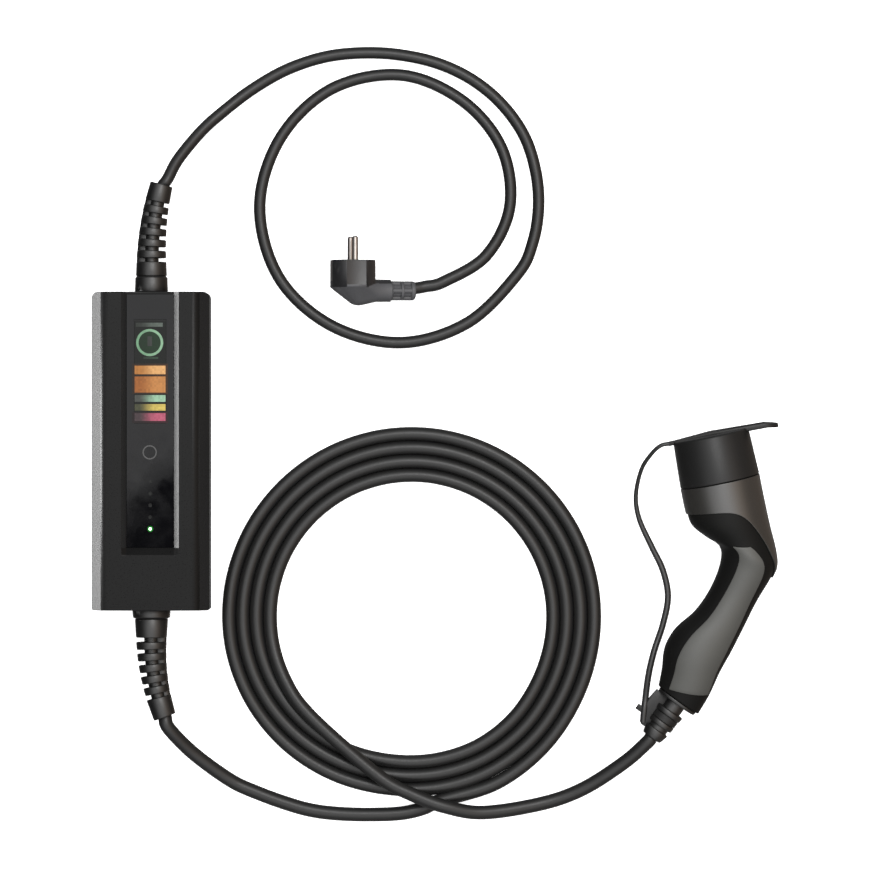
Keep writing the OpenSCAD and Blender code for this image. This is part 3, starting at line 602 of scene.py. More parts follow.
def lay_cord(name, route, diameter, stands_for):
    """A round cord that runs smoothly through the points of its route."""
    points = [Vector(p) * MM for p in route]
    ahead = points[1:] + [2 * points[-1] - points[-2]]
    behind = [2 * points[0] - points[1]] + points[:-1]
    data = bpy.data.curves.new(name, "CURVE")
    data.dimensions = "3D"
    data.resolution_u = CORD_STEPS
    data.bevel_depth = diameter / 2 * MM
    data.bevel_resolution = CORD_SIDES
    data.use_fill_caps = True
    line = data.splines.new("BEZIER")
    line.bezier_points.add(len(points) - 1)
    for knot, here, last, coming in zip(line.bezier_points, points, behind, ahead):
        # A sixth of the way from the last point to the next keeps the curve smooth at this one
        lean = (coming - last) / 6
        knot.handle_left_type = knot.handle_right_type = "FREE"
        knot.co = here
        knot.handle_left = here - lean
        knot.handle_right = here + lean
    return shown(name, data, CORD_TPU, "charger", stands_for)


# The mains cord: its points at the relief's tip, its double loop and its points at the plug's arm
MAINS_EXIT = [(0.4, -4, 0), (1.5, 0.5, 0), (3.6, 5.8, 0)]
MAINS_ROUTE = [
    (21.5, 234, 21), (39.5, 256.5, 13), (57, 272.6, 8), (80, 290.4, 5.3), (108, 306.4, 5),
    (139, 316.6, 5), (170, 319.8, 5), (200, 318, 5), (230, 311, 5), (257, 298, 5), (280, 279, 5),
    (298, 254, 5), (307.4, 226, 5), (310, 197, 5), (305.5, 168, 5), (293, 142, 5), (253, 103, 5),
    (199, 87, 5), (143, 101, 5), (101, 140, 5), (86, 197, 5), (103, 252, 5), (144, 291, 5),
    (199, 302, 5), (248, 282, 5), (280, 244, 5), (287, 197, 5), (268, 157, 5), (234, 136, 6),
]
PLUG_ARM_Y = -24.5
PLUG_ARM_L = 50.4
PLUG_ENTRY = [(PLUG_ARM_L + 9, PLUG_ARM_Y + 3.6, 0), (PLUG_ARM_L, PLUG_ARM_Y + 2, 0)]
mains_cord = lay_cord(
    "mains_cord_laid",
    [
        *[mains_tip @ Vector(p) for p in MAINS_EXIT],
        *MAINS_ROUTE,
        *[PLUG @ Vector(p) for p in PLUG_ENTRY],
    ],
    MAINS_CORD_D,
    ("mains_cord",),
)

# The vehicle cord is one length: lead, four turns that step inwards along the bottom, and tail
LEAD_ROUTE = [
    (34, -243, 16), (63, -264.6, 7.5), (84, -274.4, 5.9), (104.5, -282, 5.6), (125, -288, 5.6),
    (146, -291, 5.6), (172, -292, 5.6), (199, -291, 5.6), (217, -287, 5.6),
]
TAIL_ROUTE = [
    (181, -260, 17.6), (208, -275, 17.8), (235, -285, 17.6), (266, -290, 12), (313, -283, 6.2),
    (346, -271, 8), (378, -250, 15),
]
# The coil: angles are in degrees, counted on from turn to turn
COIL_CENTRE = Vector((208, -133, 0))
COIL_R = 146.8
COIL_PITCH = 11.05
COIL_START = 279
COIL_END = 1672
COIL_STEP = 18
STEPS_INWARD = ((535, 670), (895, 1030), (1255, 1390))
LEAD_OUT = 1.2
LEAD_JOINS = (280, 310)
BULGE = 2.8
BULGE_GROWS = (255, 300)
BULGE_ENDS = (300, 345)
CLIMB = (1615, 1675)
CLIMB_H = 10.5


def ease(value, start, end):
    """0 before start, 1 after end, and a smooth rise between them."""
    t = min(max((value - start) / (end - start), 0), 1)
    return t * t * (3 - 2 * t)


def coil_points():
    """The turns of the coil, counter-clockwise from the lead to the tail."""
    for angle in range(COIL_START, COIL_END, COIL_STEP):
        radius = COIL_R - COIL_PITCH * sum(ease(angle, *span) for span in STEPS_INWARD)
        radius += LEAD_OUT * (1 - ease(angle, *LEAD_JOINS))
        round_angle = angle % 360
        radius += BULGE * (ease(round_angle, *BULGE_GROWS) - ease(round_angle, *BULGE_ENDS))
        turn = math.radians(angle)
        height = VEHICLE_CORD_D / 2 + CLIMB_H * ease(angle, *CLIMB)
        yield COIL_CENTRE + Vector((radius * math.cos(turn), radius * math.sin(turn), height))


TAIL_RELIEF_L = 37
TAIL_ENTRY = [(0.4, TAIL_RELIEF_L + 6, 0), (0, TAIL_RELIEF_L, 0)]
vehicle_cord = lay_cord(
    "vehicle_cord_laid",
    [
        vehicle_tip.translation,
        vehicle_tip @ Vector((0, EXIT_L, 0)),
        *LEAD_ROUTE,
        *coil_points(),
        *TAIL_ROUTE,
        *[TAIL @ Vector(p) for p in TAIL_ENTRY],
    ],
    VEHICLE_CORD_D,
    ("vehicle_cord_lead", "vehicle_cord_coil", "vehicle_cord_tail"),
)

# Strap from its ring on the connector's tail to the dust cap
RING_ALONG = 18
RING_LUG = 20
STRAP_FOOT = (12.5, 31, 0)
STRAP_ROUTE = [
    (400, -2, 30), (392, -15, 20), (388, -36, 9), (391, -55, 4), (401, -77, 3.2), (410, -96, 3.2),
    (414, -117, 3.2), (410, -139, 3.2), (403, -160, 5), (398, -180, 12),
]
STRAP_ROOT = Vector((-CAP_LID_R - 4, TAB_TOP - TAB_T / 2, 0))
strap_knots = [
    CONNECTOR @ (STRAP_ROOT + Vector((1, 0, 0))),
    CONNECTOR @ (STRAP_ROOT - Vector((STRAP_W, 0, 0))),
    *[Vector(p) for p in STRAP_ROUTE],
    TAIL @ Vector((RING_LUG, RING_ALONG, 0)),
    TAIL @ Vector(STRAP_FOOT),
][::-1]


def smooth_line(knots, steps):
    """Points along the smooth curve through the knots."""
    ends = [2 * knots[0] - knots[1], *knots, 2 * knots[-1] - knots[-2]]
    line = [
        spline(*ends[i : i + 4], k / steps)
        for i in range(len(knots) - 1)
        for k in range(steps)
    ]
    return line + [knots[-1]]


STRAP_THIN = 3.4
STRAP_THINS = (0.45, 0.75)
STRAP_STEPS = 5
strap_line = smooth_line(strap_knots, STRAP_STEPS)
strap_frames = []
for i, here in enumerate(strap_line):
    ahead = strap_line[min(i + 1, len(strap_line) - 1)]
    along = (ahead - strap_line[max(i - 1, 0)]).normalized()
    side = along.cross(Vector((0, 0, 1))).normalized()
    turned = Matrix((side, along, side.cross(along))).transposed().to_4x4()
    thick = STRAP_T + (STRAP_THIN - STRAP_T) * ease(i / len(strap_line), *STRAP_THINS)
    strap_frames.append(circle_frame(Matrix.Translation(here) @ turned, thick / 2, STRAP_W / 2))
strap_bm = bmesh.new()
loft(strap_bm, strap_frames, 16)
strap = finished("strap_laid", strap_bm, STRAP_TPE, None, ("cap_strap",), 60)


def plate(bm, x0, x1, y0, y1, z0, z1):
    """A flat block between two corners."""
    size = Vector((x1 - x0, y1 - y0, z1 - z0))
    centre = Vector((x1 + x0, y1 + y0, z1 + z0)) / 2
    return bmesh.ops.create_cube(
        bm,
        size=1,
        matrix=Matrix.Translation(centre) @ Matrix.Diagonal((*size, 1)),
    )["verts"]


# Control box
def cut(bm, place, normal, clear=False):
    """Cuts all faces along a plane, and takes away what lies in front of it if clear."""
    return bmesh.ops.bisect_plane(
        bm,
        geom=[*bm.verts, *bm.edges, *bm.faces],
        plane_co=place,
        plane_no=normal,
        clear_outer=clear,
    )["geom_cut"]


# Upright corners of the front cover: radius, steps and the end of the box
COVER_CORNERS = ((5, 6, 1), (1.5, 2, -1))
COVER_GAP = 0.1
SHOULDER = 3.4
SHOULDER_STEPS = 5
COVER_RIM = 0.5
COVER_RIM_ANGLE = math.radians(22)
# Points within NEAR mm of a plane lie in it, and a face is level when its normal's Z passes LEVEL
NEAR = 0.1
LEVEL = 0.99
# Faces of the cover wider than this are shaded flat
FLAT_FROM = 2


def front_cover_piece():
    """The front cover: a bevelled lid with a trough that is open at the mains end."""
    bm = bmesh.new()
    low = PARTING_Z + COVER_GAP
    plate(bm, -BOX_HALF_W, BOX_HALF_W, -BOX_HALF_L, BOX_HALF_L, low, BOX_D)
    for radius, steps, end in COVER_CORNERS:
        corners = [
            e
            for e in bm.edges
            if all(v.co.y * end > BOX_HALF_L - NEAR for v in e.verts)
            and abs(e.verts[0].co.z - e.verts[1].co.z) > 1
        ]
        rounded_rims(bm, corners, radius, steps)
    for side in (-1, 1):
        edge = cut(bm, (side * BOX_HALF_W, 0, BOX_D - BEVEL), (side, 0, 1), True)
        bmesh.ops.contextual_create(bm, geom=edge)
    shoulders = [
        e
        for e in bm.edges
        if all(v.co.z > BOX_D - NEAR and abs(v.co.x) > BOX_HALF_W - BEVEL - NEAR for v in e.verts)
        and abs(e.verts[0].co.y - e.verts[1].co.y) > BOX_HALF_L
    ]
    rounded_rims(bm, shoulders, SHOULDER, SHOULDER_STEPS)
    for x in (-TROUGH_HALF, -PANEL_HALF_W, PANEL_HALF_W, TROUGH_HALF):
        cut(bm, (x, 0, 0), (1, 0, 0))
    for y in (TROUGH_END, PANEL_Y0, PANEL_Y1):
        cut(bm, (0, y, 0), (0, 1, 0))
    for vert in bm.verts:
        x, y, z = vert.co
        if z > BOX_D - NEAR and abs(x) < PANEL_HALF_W + NEAR and y > PANEL_Y0 - NEAR:
            vert.co.z = PANEL_TOP
    under = [f for f in bm.faces if f.calc_center_median().z < low + NEAR]
    bmesh.ops.dissolve_faces(bm, faces=under)
    bmesh.ops.recalc_face_normals(bm, faces=bm.faces)
    seat = [
        f
        for f in bm.faces
        if abs(f.calc_center_median().x) < PANEL_HALF_W
        and PANEL_Y0 < f.calc_center_median().y < PANEL_Y1
        and f.normal.z > LEVEL
    ]
    sunk = bmesh.ops.extrude_discrete_faces(bm, faces=seat)["faces"]
    bmesh.ops.translate(bm, vec=(0, 0, -PANEL_T), verts=sunk[0].verts)
    hollow = [f for f in bm.faces if f.normal.z < -LEVEL]
    bmesh.ops.inset_region(bm, faces=hollow, thickness=BOX_WALL)
    roof = bmesh.ops.extrude_discrete_faces(bm, faces=hollow)["faces"]
    bmesh.ops.translate(bm, vec=(0, 0, ROOF_Z - low), verts=roof[0].verts)
    flattened(bm)
    rims = [
        e
        for e in bm.edges
        if e.calc_face_angle(0) > COVER_RIM_ANGLE
        and min(v.co.z for v in e.verts) > PARTING_Z + 1
        and max(v.co.z for v in e.verts) > BOX_D - BEVEL - NEAR
        and abs(e.verts[0].co.z - e.verts[1].co.z) < BEVEL + NEAR
    ]
    rounded_rims(bm, rims, COVER_RIM)
    cover = finished("front_cover_moulding", bm, COVER_ABS, "charger", ("front_cover",), 30)
    for face in cover.data.polygons:
        points = [cover.data.vertices[i].co for i in face.vertices]
        longest = max((a - b).length for a, b in zip(points, points[1:] + points[:1]))
        face.use_smooth = face.area < FLAT_FROM * MM * longest
    return cover


front_cover = front_cover_piece()
# The panel's solid, with its long edges moved out to the trough's walls
panel_bm = merged_copy("front_panel")
for vert in panel_bm.verts:
    if abs(vert.co.x) > PANEL_EDGE_FROM * MM:
        vert.co.x += math.copysign(PANEL_WIDEN * MM, vert.co.x)
finished("front_panel_acrylic", panel_bm, PANEL_ACRYLIC, "charger", ("front_panel",), 1, 1, False)


def flat_ring(bm, centre, inner, outer, z0, z1, steps=48):
    """A flat ring with a square section, turned about an upright axis."""
    section = [(inner, z0), (outer, z0), (outer, z1), (inner, z1)]
    verts = [bm.verts.new((centre[0] + r, centre[1], z)) for r, z in section]
    edges = [bm.edges.new(pair) for pair in zip(verts, verts[1:] + verts[:1])]
    bmesh.ops.spin(
        bm,
        geom=edges,
        cent=(*centre, 0),
        axis=(0, 0, 1),
        angle=2 * math.pi,
        steps=steps,
        use_merge=True,
    )


def disc(bm, centre, r_low, r_high, middle, height, steps):
    """A thin round plate with its middle at the given height."""
    bmesh.ops.create_cone(
        bm,
        cap_ends=True,
        segments=steps,
        radius1=r_low,
        radius2=r_high,
        depth=height,
        matrix=Matrix.Translation((*centre, middle)),
    )


# Generic fields of colour on the display, with no words or signs
FIELD_Z = (PANEL_TOP + 0.02, PANEL_TOP + 0.06)
GLOW_Z = (PANEL_TOP + 0.01, PANEL_TOP + 0.03)
FIELD_RISE = (-9, 6)
# Dim colour, bright colour and strength, then the left, right, lower and upper edges
FIELDS = {
    "display_edge_top": ("#101010", "#161616", 0.5, -13.6, 12.6, 103.4, 104.8),
    "display_glow_amber": ("#2e1a0a", "#47290f", 0.7, -14.4, 14, 45.4, 69.6),
    "display_glow_red": ("#1e0c10", "#3a141d", 0.7, -14.4, 14, 22.2, 31.2),
    "display_bar_low": ("#27332a", "#3d5a44", 0.6, -5.4, 6.4, 73.4, 75),
    "display_gauge_mark": ("#3c403c", "#4c504c", 0.6, -2.2, 1.4, 83.6, 91.4),
    "display_bar_top": ("#3c423c", "#7d8a80", 0.5, -11.4, 10, 99, 102.2),
    "display_block_head": ("#b87838", "#e9b070", 1.0, -12.4, 12.2, 61.2, 68),
    "display_block_body": ("#a8632a", "#d08c4c", 0.9, -12.4, 12.2, 46.6, 59.4),
    "display_bar_green": ("#4c4f4a", "#a5d0ae", 0.9, -12.4, 12.2, 39.2, 44.6),
    "display_bar_yellow": ("#4a4c34", "#e2c964", 0.9, -12.4, 12.2, 32.2, 37.4),
    "display_bar_red": ("#4a3a3e", "#c8607a", 0.9, -12.4, 12.2, 24, 30.2),
}
for name, (dim, bright, strength, *edges) in FIELDS.items():
    bm = bmesh.new()
    plate(bm, *edges, *(GLOW_Z if "glow" in name else FIELD_Z))
    finished(name, bm, lit_field("lit_" + name, dim, bright, *FIELD_RISE, strength))

# Round gauge on the display
GAUGE_CENTRE = (-0.4, 86.4)
GAUGE_RING = (8.8, 10.8)
GAUGE_FACE_R = 8.7
gauge_bm = bmesh.new()
flat_ring(gauge_bm, GAUGE_CENTRE, *GAUGE_RING, *FIELD_Z)
finished("display_gauge_ring", gauge_bm, lit_field("lit_gauge", "#7fb08a", "#9fcba6", -11, 11, 0.8))
face_bm = bmesh.new()
disc(face_bm, GAUGE_CENTRE, GAUGE_FACE_R, GAUGE_FACE_R, PANEL_TOP + 0.03, 0.03, 48)
finished("display_gauge_face", face_bm, lit_field("lit_gauge_face", "#0f3317", "#153c1d", -9, 9, 0.6))

# Touch key: a ring of printed ink, mid grey and matt
TOUCH_CENTRE = (-0.4, -1)
TOUCH_RING = (4.7, 5.7)
TOUCH_INK = moulded("printed_ink_ring", "#2c2c2c", "#343434", 0.5, 0.8, 0.01)
touch_bm = bmesh.new()
flat_ring(touch_bm, TOUCH_CENTRE, *TOUCH_RING, PANEL_TOP + 0.01, PANEL_TOP + 0.05)
finished("touch_key_ring", touch_bm, TOUCH_INK)

# The lowest status light is lit, with a halo in the panel round it
LIGHT_CENTRE = (0, -62)
LIGHT_R = 1.1
LIGHT_TOP_R = 1.0
HALO_R = 2.3
lit_bm = bmesh.new()
disc(lit_bm, LIGHT_CENTRE, LIGHT_R, LIGHT_TOP_R, PANEL_TOP + 0.04, 0.06, 24)
finished("status_light_lit", lit_bm, lit_field("lit_status_light", "#d8ffd8", "#f4fff0", -1.4, 1.4, 5))
halo_bm = bmesh.new()
flat_ring(halo_bm, LIGHT_CENTRE, LIGHT_R, HALO_R, PANEL_TOP + 0.01, PANEL_TOP + 0.04)
halo_light = lit_field("lit_halo", "#1c7a26", "#2a9a34", -HALO_R, HALO_R, 0.9)
finished("status_light_halo", halo_bm, halo_light)


# Ribs of the bend reliefs
RIB_W = 6
RIB_COUNT = 5
CORE_R = 5.8
WEB_R = 5.4
WEB_TALL = 3
WEB_SUNK = 0.2
WEB_STEPS = 12
RELIEF_TIP_R = 9.2
TIP_AT = RIB_COUNT - 0.3
EDGE = 0.7


def block(start, end, r_start, r_end):
    """Profile of one rib or collar: (distance, radius) pairs with rounded edges."""
    return [
        (start, r_start - EDGE),
        (start + EDGE * 0.3, r_start - EDGE * 0.3),
        (start + EDGE, r_start),
        (end - EDGE, r_end),
        (end - EDGE * 0.3, r_end - EDGE * 0.3),
        (end, r_end - EDGE),
    ]


def ribbed(blocks, core, gap=0.01):
    """Profile of a row of ribs and collars with a thin core between them."""
    profile = []
    for start, end, r_start, r_end in blocks:
        if profile:
            profile += [(profile[-1][0] + gap, core), (start - gap, core)]
        profile += block(start, end, r_start, r_end)
    return profile


def relief_piece(name, node, place, turn, web, collar, base, first_rib, pitch):
    """A ribbed bend relief: collar and base, ribs on a thin core, a web along one side and a tip."""
    base_end, base_r = base[1], base[3]

    def outer(y):
        return base_r + (RELIEF_TIP_R - base_r) * (y - base_end) / (RELIEF_L - base_end)

    starts = [first_rib + i * pitch - RIB_W / 2 for i in range(RIB_COUNT)]
    spans = [(start, start + RIB_W) for start in starts] + [(first_rib + TIP_AT * pitch, RELIEF_L)]
    ribs = [(start, end, outer(start), outer(end)) for start, end in spans]
    profile = block(*collar) + ribbed([base, *ribs], CORE_R)
    bm = bmesh.new()
    loft(bm, [circle_frame(place @ bend_place(y, turn), r, r) for y, r in profile], 48)
    line = []
    for k in range(WEB_STEPS + 1):
        y = base_end - 1 + k * (RELIEF_L - 2 - base_end) / WEB_STEPS
        side = Matrix.Translation((web * (outer(y) - WEB_R - WEB_SUNK), 0, 0))
        line.append(circle_frame(place @ bend_place(y, turn) @ side, WEB_R, WEB_TALL))
    loft(bm, line, 24)
    return finished(name, bm, RELIEF_TPE, "charger", (node,), 50)


relief_piece(
    "mains_relief_moulding",
    "mains_bend_relief",
    MAINS_END,
    MAINS_TURN,
    web=-1,
    collar=(0.05, 12, 13.2, 12.9),
    base=(13, 24.2, 12.4, 12),
    first_rib=30.3,
    pitch=9,
)
relief_piece(
    "vehicle_relief_moulding",
    "vehicle_bend_relief",
    VEHICLE_END,
    VEHICLE_TURN,
    web=1,
    collar=(0.05, 6.3, 15.2, 14.8),
    base=(7.2, 22.2, 13.2, 12.4),
    first_rib=28.6,
    pitch=8.9,
)

# Mains plug
PLUG_RELIEF_L = 20
ARM_FROM = -19
PLUG_CORE_R = 5.4
PLUG_RIBS = [(0.1, 1.6, 7.8, 7.8), (8.2, 10.8, 7.6, 7.5), (16.6, PLUG_RELIEF_L, 7.6, 7.4)]
PLUG_WEBS = ((0, 5.2), (0, -5.2), (5.5, 0), (-5.5, 0))
PLUG_WEB_R = 2.2
PLUG_WEB_Y = (0.6, 6, 12, 19)
PLUG_EDGE = 0.7
PIN_EDGE = 0.3
plug_arm = PLUG @ Matrix.Translation((PLUG_ARM_L - PLUG_RELIEF_L, PLUG_ARM_Y, 0))
plug_arm = plug_arm @ Matrix.Rotation(math.radians(-90), 4, "Z")
plug_profile = ribbed(PLUG_RIBS, PLUG_CORE_R)
plug_bm = bmesh.new()
loft(
    plug_bm,
    [circle_frame(plug_arm @ Matrix.Translation((0, y, 0)), r, r) for y, r in plug_profile],
    40,
)
for x, z in PLUG_WEBS:
    web = [plug_arm @ Matrix.Translation((x, y, z)) for y in PLUG_WEB_Y]
    loft(plug_bm, [circle_frame(here, PLUG_WEB_R, PLUG_WEB_R) for here in web], 16)
plug_body = softened("plug_body_moulding", "plug_body", PLUG_EDGE, PLUG_PVC)
# The arm's faces take the paler PVC: a painted light tone, as if lit from the −Y side
plug_body.data.materials.append(PLUG_ARM_PAINTED_LIGHT_PVC)
for face in plug_body.data.polygons:
    if face.center.y < (PLUG.translation.y + ARM_FROM) * MM:
        face.material_index = 1
plug_pieces = [
    plug_body,
    softened("plug_pins_turned", "plug_pins", PIN_EDGE, PIN_NICKEL),
    # The cord relief wears the same painted light tone as the arm
    finished("plug_relief_moulding", plug_bm, PLUG_ARM_PAINTED_LIGHT_PVC, "charger", ("plug_cord_relief",), 50),
    solids["plug_earth_clips"],
]

# Vehicle connector: two handle halves from one skin
HALVES_GAP = 0.08
STATION_STEPS = 6
PLANE_CO = CONNECTOR.translation
PLANE_NO = CONNECTOR.to_3x3() @ Vector((0, 0, 1))
for name, node, side in (
    ("handle_half_upper", "handle_shell_left", 1),
    ("handle_half_lower", "handle_shell_right", -1),
):
    bm = bmesh.new()
    places = [i / STATION_STEPS for i in range(LAST_STATION * STATION_STEPS + 1)]
    loft(bm, [handle_frame(place, 0) for place in places], 64, False)
    bmesh.ops.recalc_face_normals(bm, faces=bm.faces)
    bmesh.ops.bisect_plane(
        bm,
        geom=[*bm.verts, *bm.edges, *bm.faces],
        plane_co=PLANE_CO + PLANE_NO * HALVES_GAP * side,
        plane_no=PLANE_NO * side,
        clear_inner=True,
    )
    half = finished(name, bm, HANDLE_PA, "charger", (node,), 50, MM, False)
    thickened(half, HANDLE_WALL, HANDLE_EDGE)


def trim_piece(name, node, material, cols, rows, spot):
    """A skin on the handle: spot gives the angle and the place of each column and row, from 0 to 1."""
    bm = bmesh.new()
    grid = bmesh.ops.create_grid(bm, x_segments=cols, y_segments=rows, size=0.5)["verts"]
    for vert in grid:
        degrees, place = spot(vert.co.x + 0.5, vert.co.y + 0.5)
        angle = math.radians(degrees)
        here = handle_frame(place, TRIM_LIFT + TRIM_T)
        vert.co = here @ Vector((math.cos(angle), math.sin(angle), 0))
    bmesh.ops.remove_doubles(bm, verts=bm.verts, dist=MERGE_SKIN)
    bmesh.ops.recalc_face_normals(bm, faces=bm.faces)
    outward = sum(f.normal.dot(f.calc_center_median() - trim_axis(f)) for f in bm.faces)
    if outward < 0:
        bmesh.ops.reverse_faces(bm, faces=bm.faces)
    made = finished(name, bm, material, "charger", (node,), 60, MM, False)
    return thickened(made, TRIM_T, TRIM_EDGE)


def trim_axis(face):
    """The point of the handle's axis nearest to a face."""
    here = face.calc_center_median()
    axis = [CONNECTOR @ Vector((s[0], s[1], 0)) for s in STATIONS]
    return min(axis, key=lambda p: (p - here).length)


SLEEVE_FRONT = 0.02
SLEEVE_SHORT = 1.3
SLEEVE_LONG = 5
SLEEVE_CURVE = 7
INLAY_RIGHT = (75, 30)
INLAY_LEFT = (110, 123)
INLAY_CURVE = 0.6
INLAY_FRONT = (2.95, 3.3)
INLAY_BACK = (10, 10.7)


def sleeve_spot(across, along):
    """The sleeve goes all round; its rear edge runs out in a tongue down the right side."""
    turn = math.tau * across
    rear = SLEEVE_SHORT + (SLEEVE_LONG - SLEEVE_SHORT) * ((1 + math.cos(turn)) / 2) ** SLEEVE_CURVE
    return math.degrees(turn), SLEEVE_FRONT + (rear - SLEEVE_FRONT) * along


def between(ends, share):
    """The value at a share of the way between two ends."""
    return ends[0] + (ends[1] - ends[0]) * share


def inlay_spot(across, along):
    """The inlay widens from its front end to the belly of the grip."""
    right = between(INLAY_RIGHT, along**INLAY_CURVE)
    left = between(INLAY_LEFT, along)
    place = between((between(INLAY_FRONT, across), between(INLAY_BACK, across)), along)
    return between((right, left), across), place


def inlay_spot_below(across, along):
    """The same inlay on the underside of the grip."""
    degrees, place = inlay_spot(across, along)
    return -degrees, place


trim_piece("head_sleeve_moulding", "head_sleeve", SLEEVE_PA, 96, 24, sleeve_spot)
trim_piece("grip_inlay_upper", "grip_inlay_left", GRIP_TPE, 24, 40, inlay_spot)
trim_piece("grip_inlay_lower", "grip_inlay_right", GRIP_TPE, 24, 40, inlay_spot_below)


PLATE_RIM_ANGLE = math.radians(60)


def raised(bm, face, height, edge):
    """Raises a flat face to a plate with rounded edges."""
    risen = bmesh.ops.extrude_face_region(bm, geom=[face])["geom"]
    top = [g for g in risen if isinstance(g, bmesh.types.BMVert)]
    bmesh.ops.translate(bm, vec=(0, 0, height), verts=top)
    plate_faces = list(dict.fromkeys([*[f for v in top for f in v.link_faces], face]))
    bmesh.ops.recalc_face_normals(bm, faces=plate_faces)
    sharp = [e for f in plate_faces for e in f.edges if e.calc_face_angle(0) > PLATE_RIM_ANGLE]
    rounded_rims(bm, list(dict.fromkeys(sharp)), edge)


# Bend relief on the connector's tail, and the ring that holds the strap
RING_W = 5
RING_R = (8.3, 10.7)
RING_EDGE = 0.4
RING_TAB_T = 4
# The ring's tab, fuller at its foot than in the solids: its outline across and along the tail,
# with the knob that locks the strap
RING_TAB = [
    (6, 3), (19, 3), (20, 12), (18.6, 21), (24, 21), (24, 25.5), (17, 25.5), (13.5, 33), (6, 33),
]
FLANGE_FROM = 12
TAIL_ROOT = [(-6, 9.8), (0.2, 9.8)]
TAIL_CORE_R = 8.2
TAIL_RIBS = [
    (0.2, 3.2, TAIL_R - 1.5, TAIL_R - 1.8),
    (10.5, 15, 11.6, 11.4),
    (21, 25.5, 10.8, 10.6),
    (29, TAIL_RELIEF_L, 10.2, 8.4),
]
tail_profile = TAIL_ROOT + ribbed(TAIL_RIBS, TAIL_CORE_R, 0.1)
tail_bm = bmesh.new()
loft(
    tail_bm,
    [
        circle_frame(
            TAIL @ Matrix.Translation((0, y, 0)),
            r * (TAIL_W / (2 * TAIL_R) if r > FLANGE_FROM else 1),
            r,
        )
        for y, r in tail_profile
    ],
    40,
)
finished("connector_relief_moulding", tail_bm, RELIEF_TPE, "charger", ("connector_bend_relief",), 50)
ring_bm = bmesh.new()
flat_ring(ring_bm, (0, 0), *RING_R, -RING_W / 2, RING_W / 2, 40)
bmesh.ops.transform(
    ring_bm, matrix=Matrix.Translation((0, RING_ALONG, 0)) @ ACROSS_Y, verts=ring_bm.verts
)
tab_face = ring_bm.faces.new([ring_bm.verts.new((x, y, -RING_TAB_T / 2)) for x, y in RING_TAB])
raised(ring_bm, tab_face, RING_TAB_T, RING_EDGE)
bmesh.ops.transform(ring_bm, matrix=TAIL, verts=ring_bm.verts)
finished("strap_ring_moulding", ring_bm, CAP_TPE, "charger", ("strap_ring",), 50)

# Dust cap
BORE_CHAMFER = 0.5
RIM_CHAMFER = 0.6
cap_bm = bmesh.new()
cap_section = [
    (0, LID_TOP - LID_T),
    (CAP_BORE_R, LID_TOP - LID_T),
    (CAP_BORE_R, CAP_GAP + BORE_CHAMFER),
    (CAP_BORE_R + BORE_CHAMFER, CAP_GAP),
    (CAP_R - RIM_CHAMFER, CAP_GAP),
    (CAP_R, CAP_GAP + RIM_CHAMFER),
    (CAP_LID_R + 0.1, LID_TOP - 1.6),
    (CAP_LID_R - 0.4, LID_TOP - 0.6),
    (CAP_LID_R - 1.4, LID_TOP),
    (0, LID_TOP),
]
cap_verts = [cap_bm.verts.new((r, 0, z)) for r, z in cap_section]
cap_edges = [cap_bm.edges.new(pair) for pair in zip(cap_verts, cap_verts[1:])]
bmesh.ops.spin(
    cap_bm,
    geom=cap_edges,
    cent=(0, 0, 0),
    axis=(0, 0, 1),
    angle=2 * math.pi,
    steps=96,
    use_merge=True,
)
bmesh.ops.remove_doubles(cap_bm, verts=cap_bm.verts, dist=MERGE_SKIN)
bmesh.ops.transform(cap_bm, matrix=NOSE, verts=cap_bm.verts)
finished("dust_cap_moulding", cap_bm, CAP_TPE, "dust_cap", ("dust_cap",), 35)

# Pull tab and strap lug: a thin tongue that rises across the lid and droops beyond it
TAB_EDGE = 0.5
TAB_RISE = 2.6
TAB_DROOP = math.tan(math.radians(12))
tab_bm = bmesh.new()
tab_end = CAP_LID_R + TAB_L - TAB_W / 2
outline = [(0, -TAB_W / 2)]
for degrees in range(-90, 91, 10):
    turn = math.radians(degrees)
    outline.append((tab_end + TAB_W / 2 * math.cos(turn), TAB_W / 2 * math.sin(turn)))
outline += [
    (0, TAB_W / 2),
    (-CAP_LID_R + 2, STRAP_W / 2),
    (STRAP_ROOT.x, STRAP_W / 2),
    (STRAP_ROOT.x, -STRAP_W / 2),
    (-CAP_LID_R + 2, -STRAP_W / 2),
]
tab_face = tab_bm.faces.new([tab_bm.verts.new((x, y, TAB_TOP - TAB_T)) for x, y in outline])
raised(tab_bm, tab_face, TAB_T, TAB_EDGE)
for vert in tab_bm.verts:
    across = min(max(vert.co.x / CAP_LID_R + 1, 0) / 2, 1)
    vert.co.z += TAB_RISE * across - TAB_DROOP * max(vert.co.x - CAP_LID_R, 0)
bmesh.ops.transform(tab_bm, matrix=NOSE, verts=tab_bm.verts)
finished("dust_cap_tab", tab_bm, CAP_TPE, "dust_cap", (), 40)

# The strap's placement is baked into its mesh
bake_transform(strap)

# Floor: white seamless paper on a light table, which throws no light back on the object
FLOOR_PAPER = moulded(
    "seamless_paper_floor",
    "#f7f7f7",
    "#fbfbfb",
    0.85,
    1.5,
    0.01,
    Specular_IOR_Level=0.1,
    Emission_Color=(1, 1, 1, 1),
    Emission_Strength=0.6,
)
FLOOR_HALF = 20000
FLOOR_DROP = 0.2
floor_bm = bmesh.new()
bmesh.ops.create_grid(floor_bm, x_segments=1, y_segments=1, size=FLOOR_HALF)
bmesh.ops.translate(floor_bm, vec=STUDIO - Vector((0, 0, FLOOR_DROP)), verts=floor_bm.verts)
floor = finished("paper_floor", floor_bm, FLOOR_PAPER, None, (), 35, MM, False)
floor.visible_glossy = False
floor.visible_diffuse = False

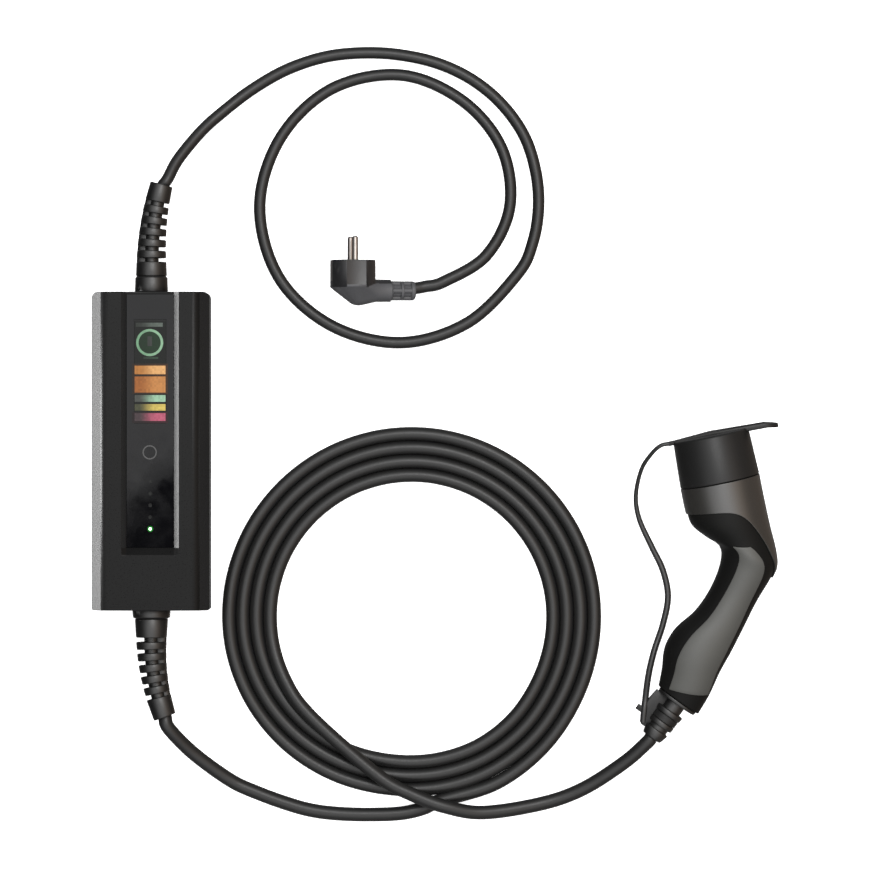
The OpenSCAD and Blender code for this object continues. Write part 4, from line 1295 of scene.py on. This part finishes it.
# A black flag above the panel's lower end, seen only in gloss
FLAG_BLACK = moulded("black_felt_flag", "#000000", "#020202", 0.9, 5, 0.0, Specular_IOR_Level=0.0)
FLAG_H = 1500
FLAG_CORNERS = ((-170, -109), (-170, -320), (30, -320), (30, 27))
flag_bm = bmesh.new()
flag_bm.faces.new([flag_bm.verts.new((x, y, FLAG_H)) for x, y in FLAG_CORNERS])
flag = finished("black_flag", flag_bm, FLAG_BLACK, None, (), 35, MM, False)
flag.visible_camera = False
flag.visible_diffuse = False
flag.visible_shadow = False


# Light: a bright sky of white cloth, a key, an overhead fill and two strips for the front cover alone
def soft_light(name, place, aim, size, power):
    """A rectangular soft light at place that points at aim, out of the camera's sight."""
    data = bpy.data.lights.new(name, "AREA")
    data.shape = "RECTANGLE"
    data.size, data.size_y = size[0] * MM, size[1] * MM
    data.energy = power
    lamp = bpy.data.objects.new(name, data)
    lamp.location = Vector(place) * MM
    lamp.rotation_euler = (Vector(aim) - Vector(place)).to_track_quat("-Z", "Y").to_euler()
    lamp.visible_camera = False
    bpy.context.scene.collection.objects.link(lamp)
    return lamp


strips = [
    soft_light("left_strip", (-1500, 0, 230), (0, 0, 30), (700, 420), 72),
    soft_light("right_strip", (1500, 0, 330), (0, 0, 30), (700, 520), 2.4),
]
lit_box = bpy.data.collections.new("lit_by_strips")
lit_box.objects.link(front_cover)
for strip in strips:
    strip.light_linking.receiver_collection = lit_box
soft_light("key", STUDIO + Vector((350, 900, 2700)), STUDIO, (1000, 1000), 26)
fill_data = bpy.data.lights.new("overhead_fill", "SUN")
fill_data.energy = 1.8
fill_data.angle = math.radians(40)
fill = bpy.data.objects.new("overhead_fill", fill_data)
fill.rotation_euler = (math.radians(-10), 0, 0)
fill.visible_glossy = False
bpy.context.scene.collection.objects.link(fill)

# The sky: brightest overhead. In gloss it is darker from the left and warmer from the right.
world = bpy.data.worlds.new("studio")
world.use_nodes = True
sky = world.node_tree
sky.nodes.clear()
look = add(sky, "ShaderNodeTexCoord")
rise = add(sky, "ShaderNodeSeparateXYZ", {"Vector": look.outputs["Generated"]})
glow = add(
    sky,
    "ShaderNodeMapRange",
    {
        "Value": rise.outputs["Z"],
        "From Min": 0.4,
        "From Max": 0.95,
        "To Min": 0.3,
        "To Max": 2.0,
    },
)
path = add(sky, "ShaderNodeLightPath")
shaded = add(
    sky,
    "ShaderNodeMath",
    {0: path.outputs["Is Glossy Ray"], 1: -0.85, 2: 1.0},
    operation="MULTIPLY_ADD",
)
left = add(
    sky,
    "ShaderNodeMapRange",
    {
        "Value": rise.outputs["X"],
        "From Min": -0.85,
        "From Max": -0.4,
        "To Min": shaded.outputs["Value"],
    },
)
dimmed = add(
    sky,
    "ShaderNodeMath",
    {0: glow.outputs["Result"], 1: left.outputs["Result"]},
    operation="MULTIPLY",
)
side = add(
    sky,
    "ShaderNodeMapRange",
    {
        "Value": rise.outputs["X"],
        "From Min": 0.2,
        "From Max": 0.8,
        "To Max": path.outputs["Is Glossy Ray"],
    },
)
tint = add(
    sky,
    "ShaderNodeMix",
    {0: side.outputs["Result"], 6: (1, 1, 1, 1), 7: linear("#ffe4cc")},
    data_type="RGBA",
)
cloth = add(
    sky,
    "ShaderNodeBackground",
    {"Color": tint.outputs[2], "Strength": dimmed.outputs["Value"]},
)
add(sky, "ShaderNodeOutputWorld", {"Surface": cloth.outputs["Background"]})
bpy.context.scene.world = world
bpy.context.scene.view_settings.view_transform = "Standard"
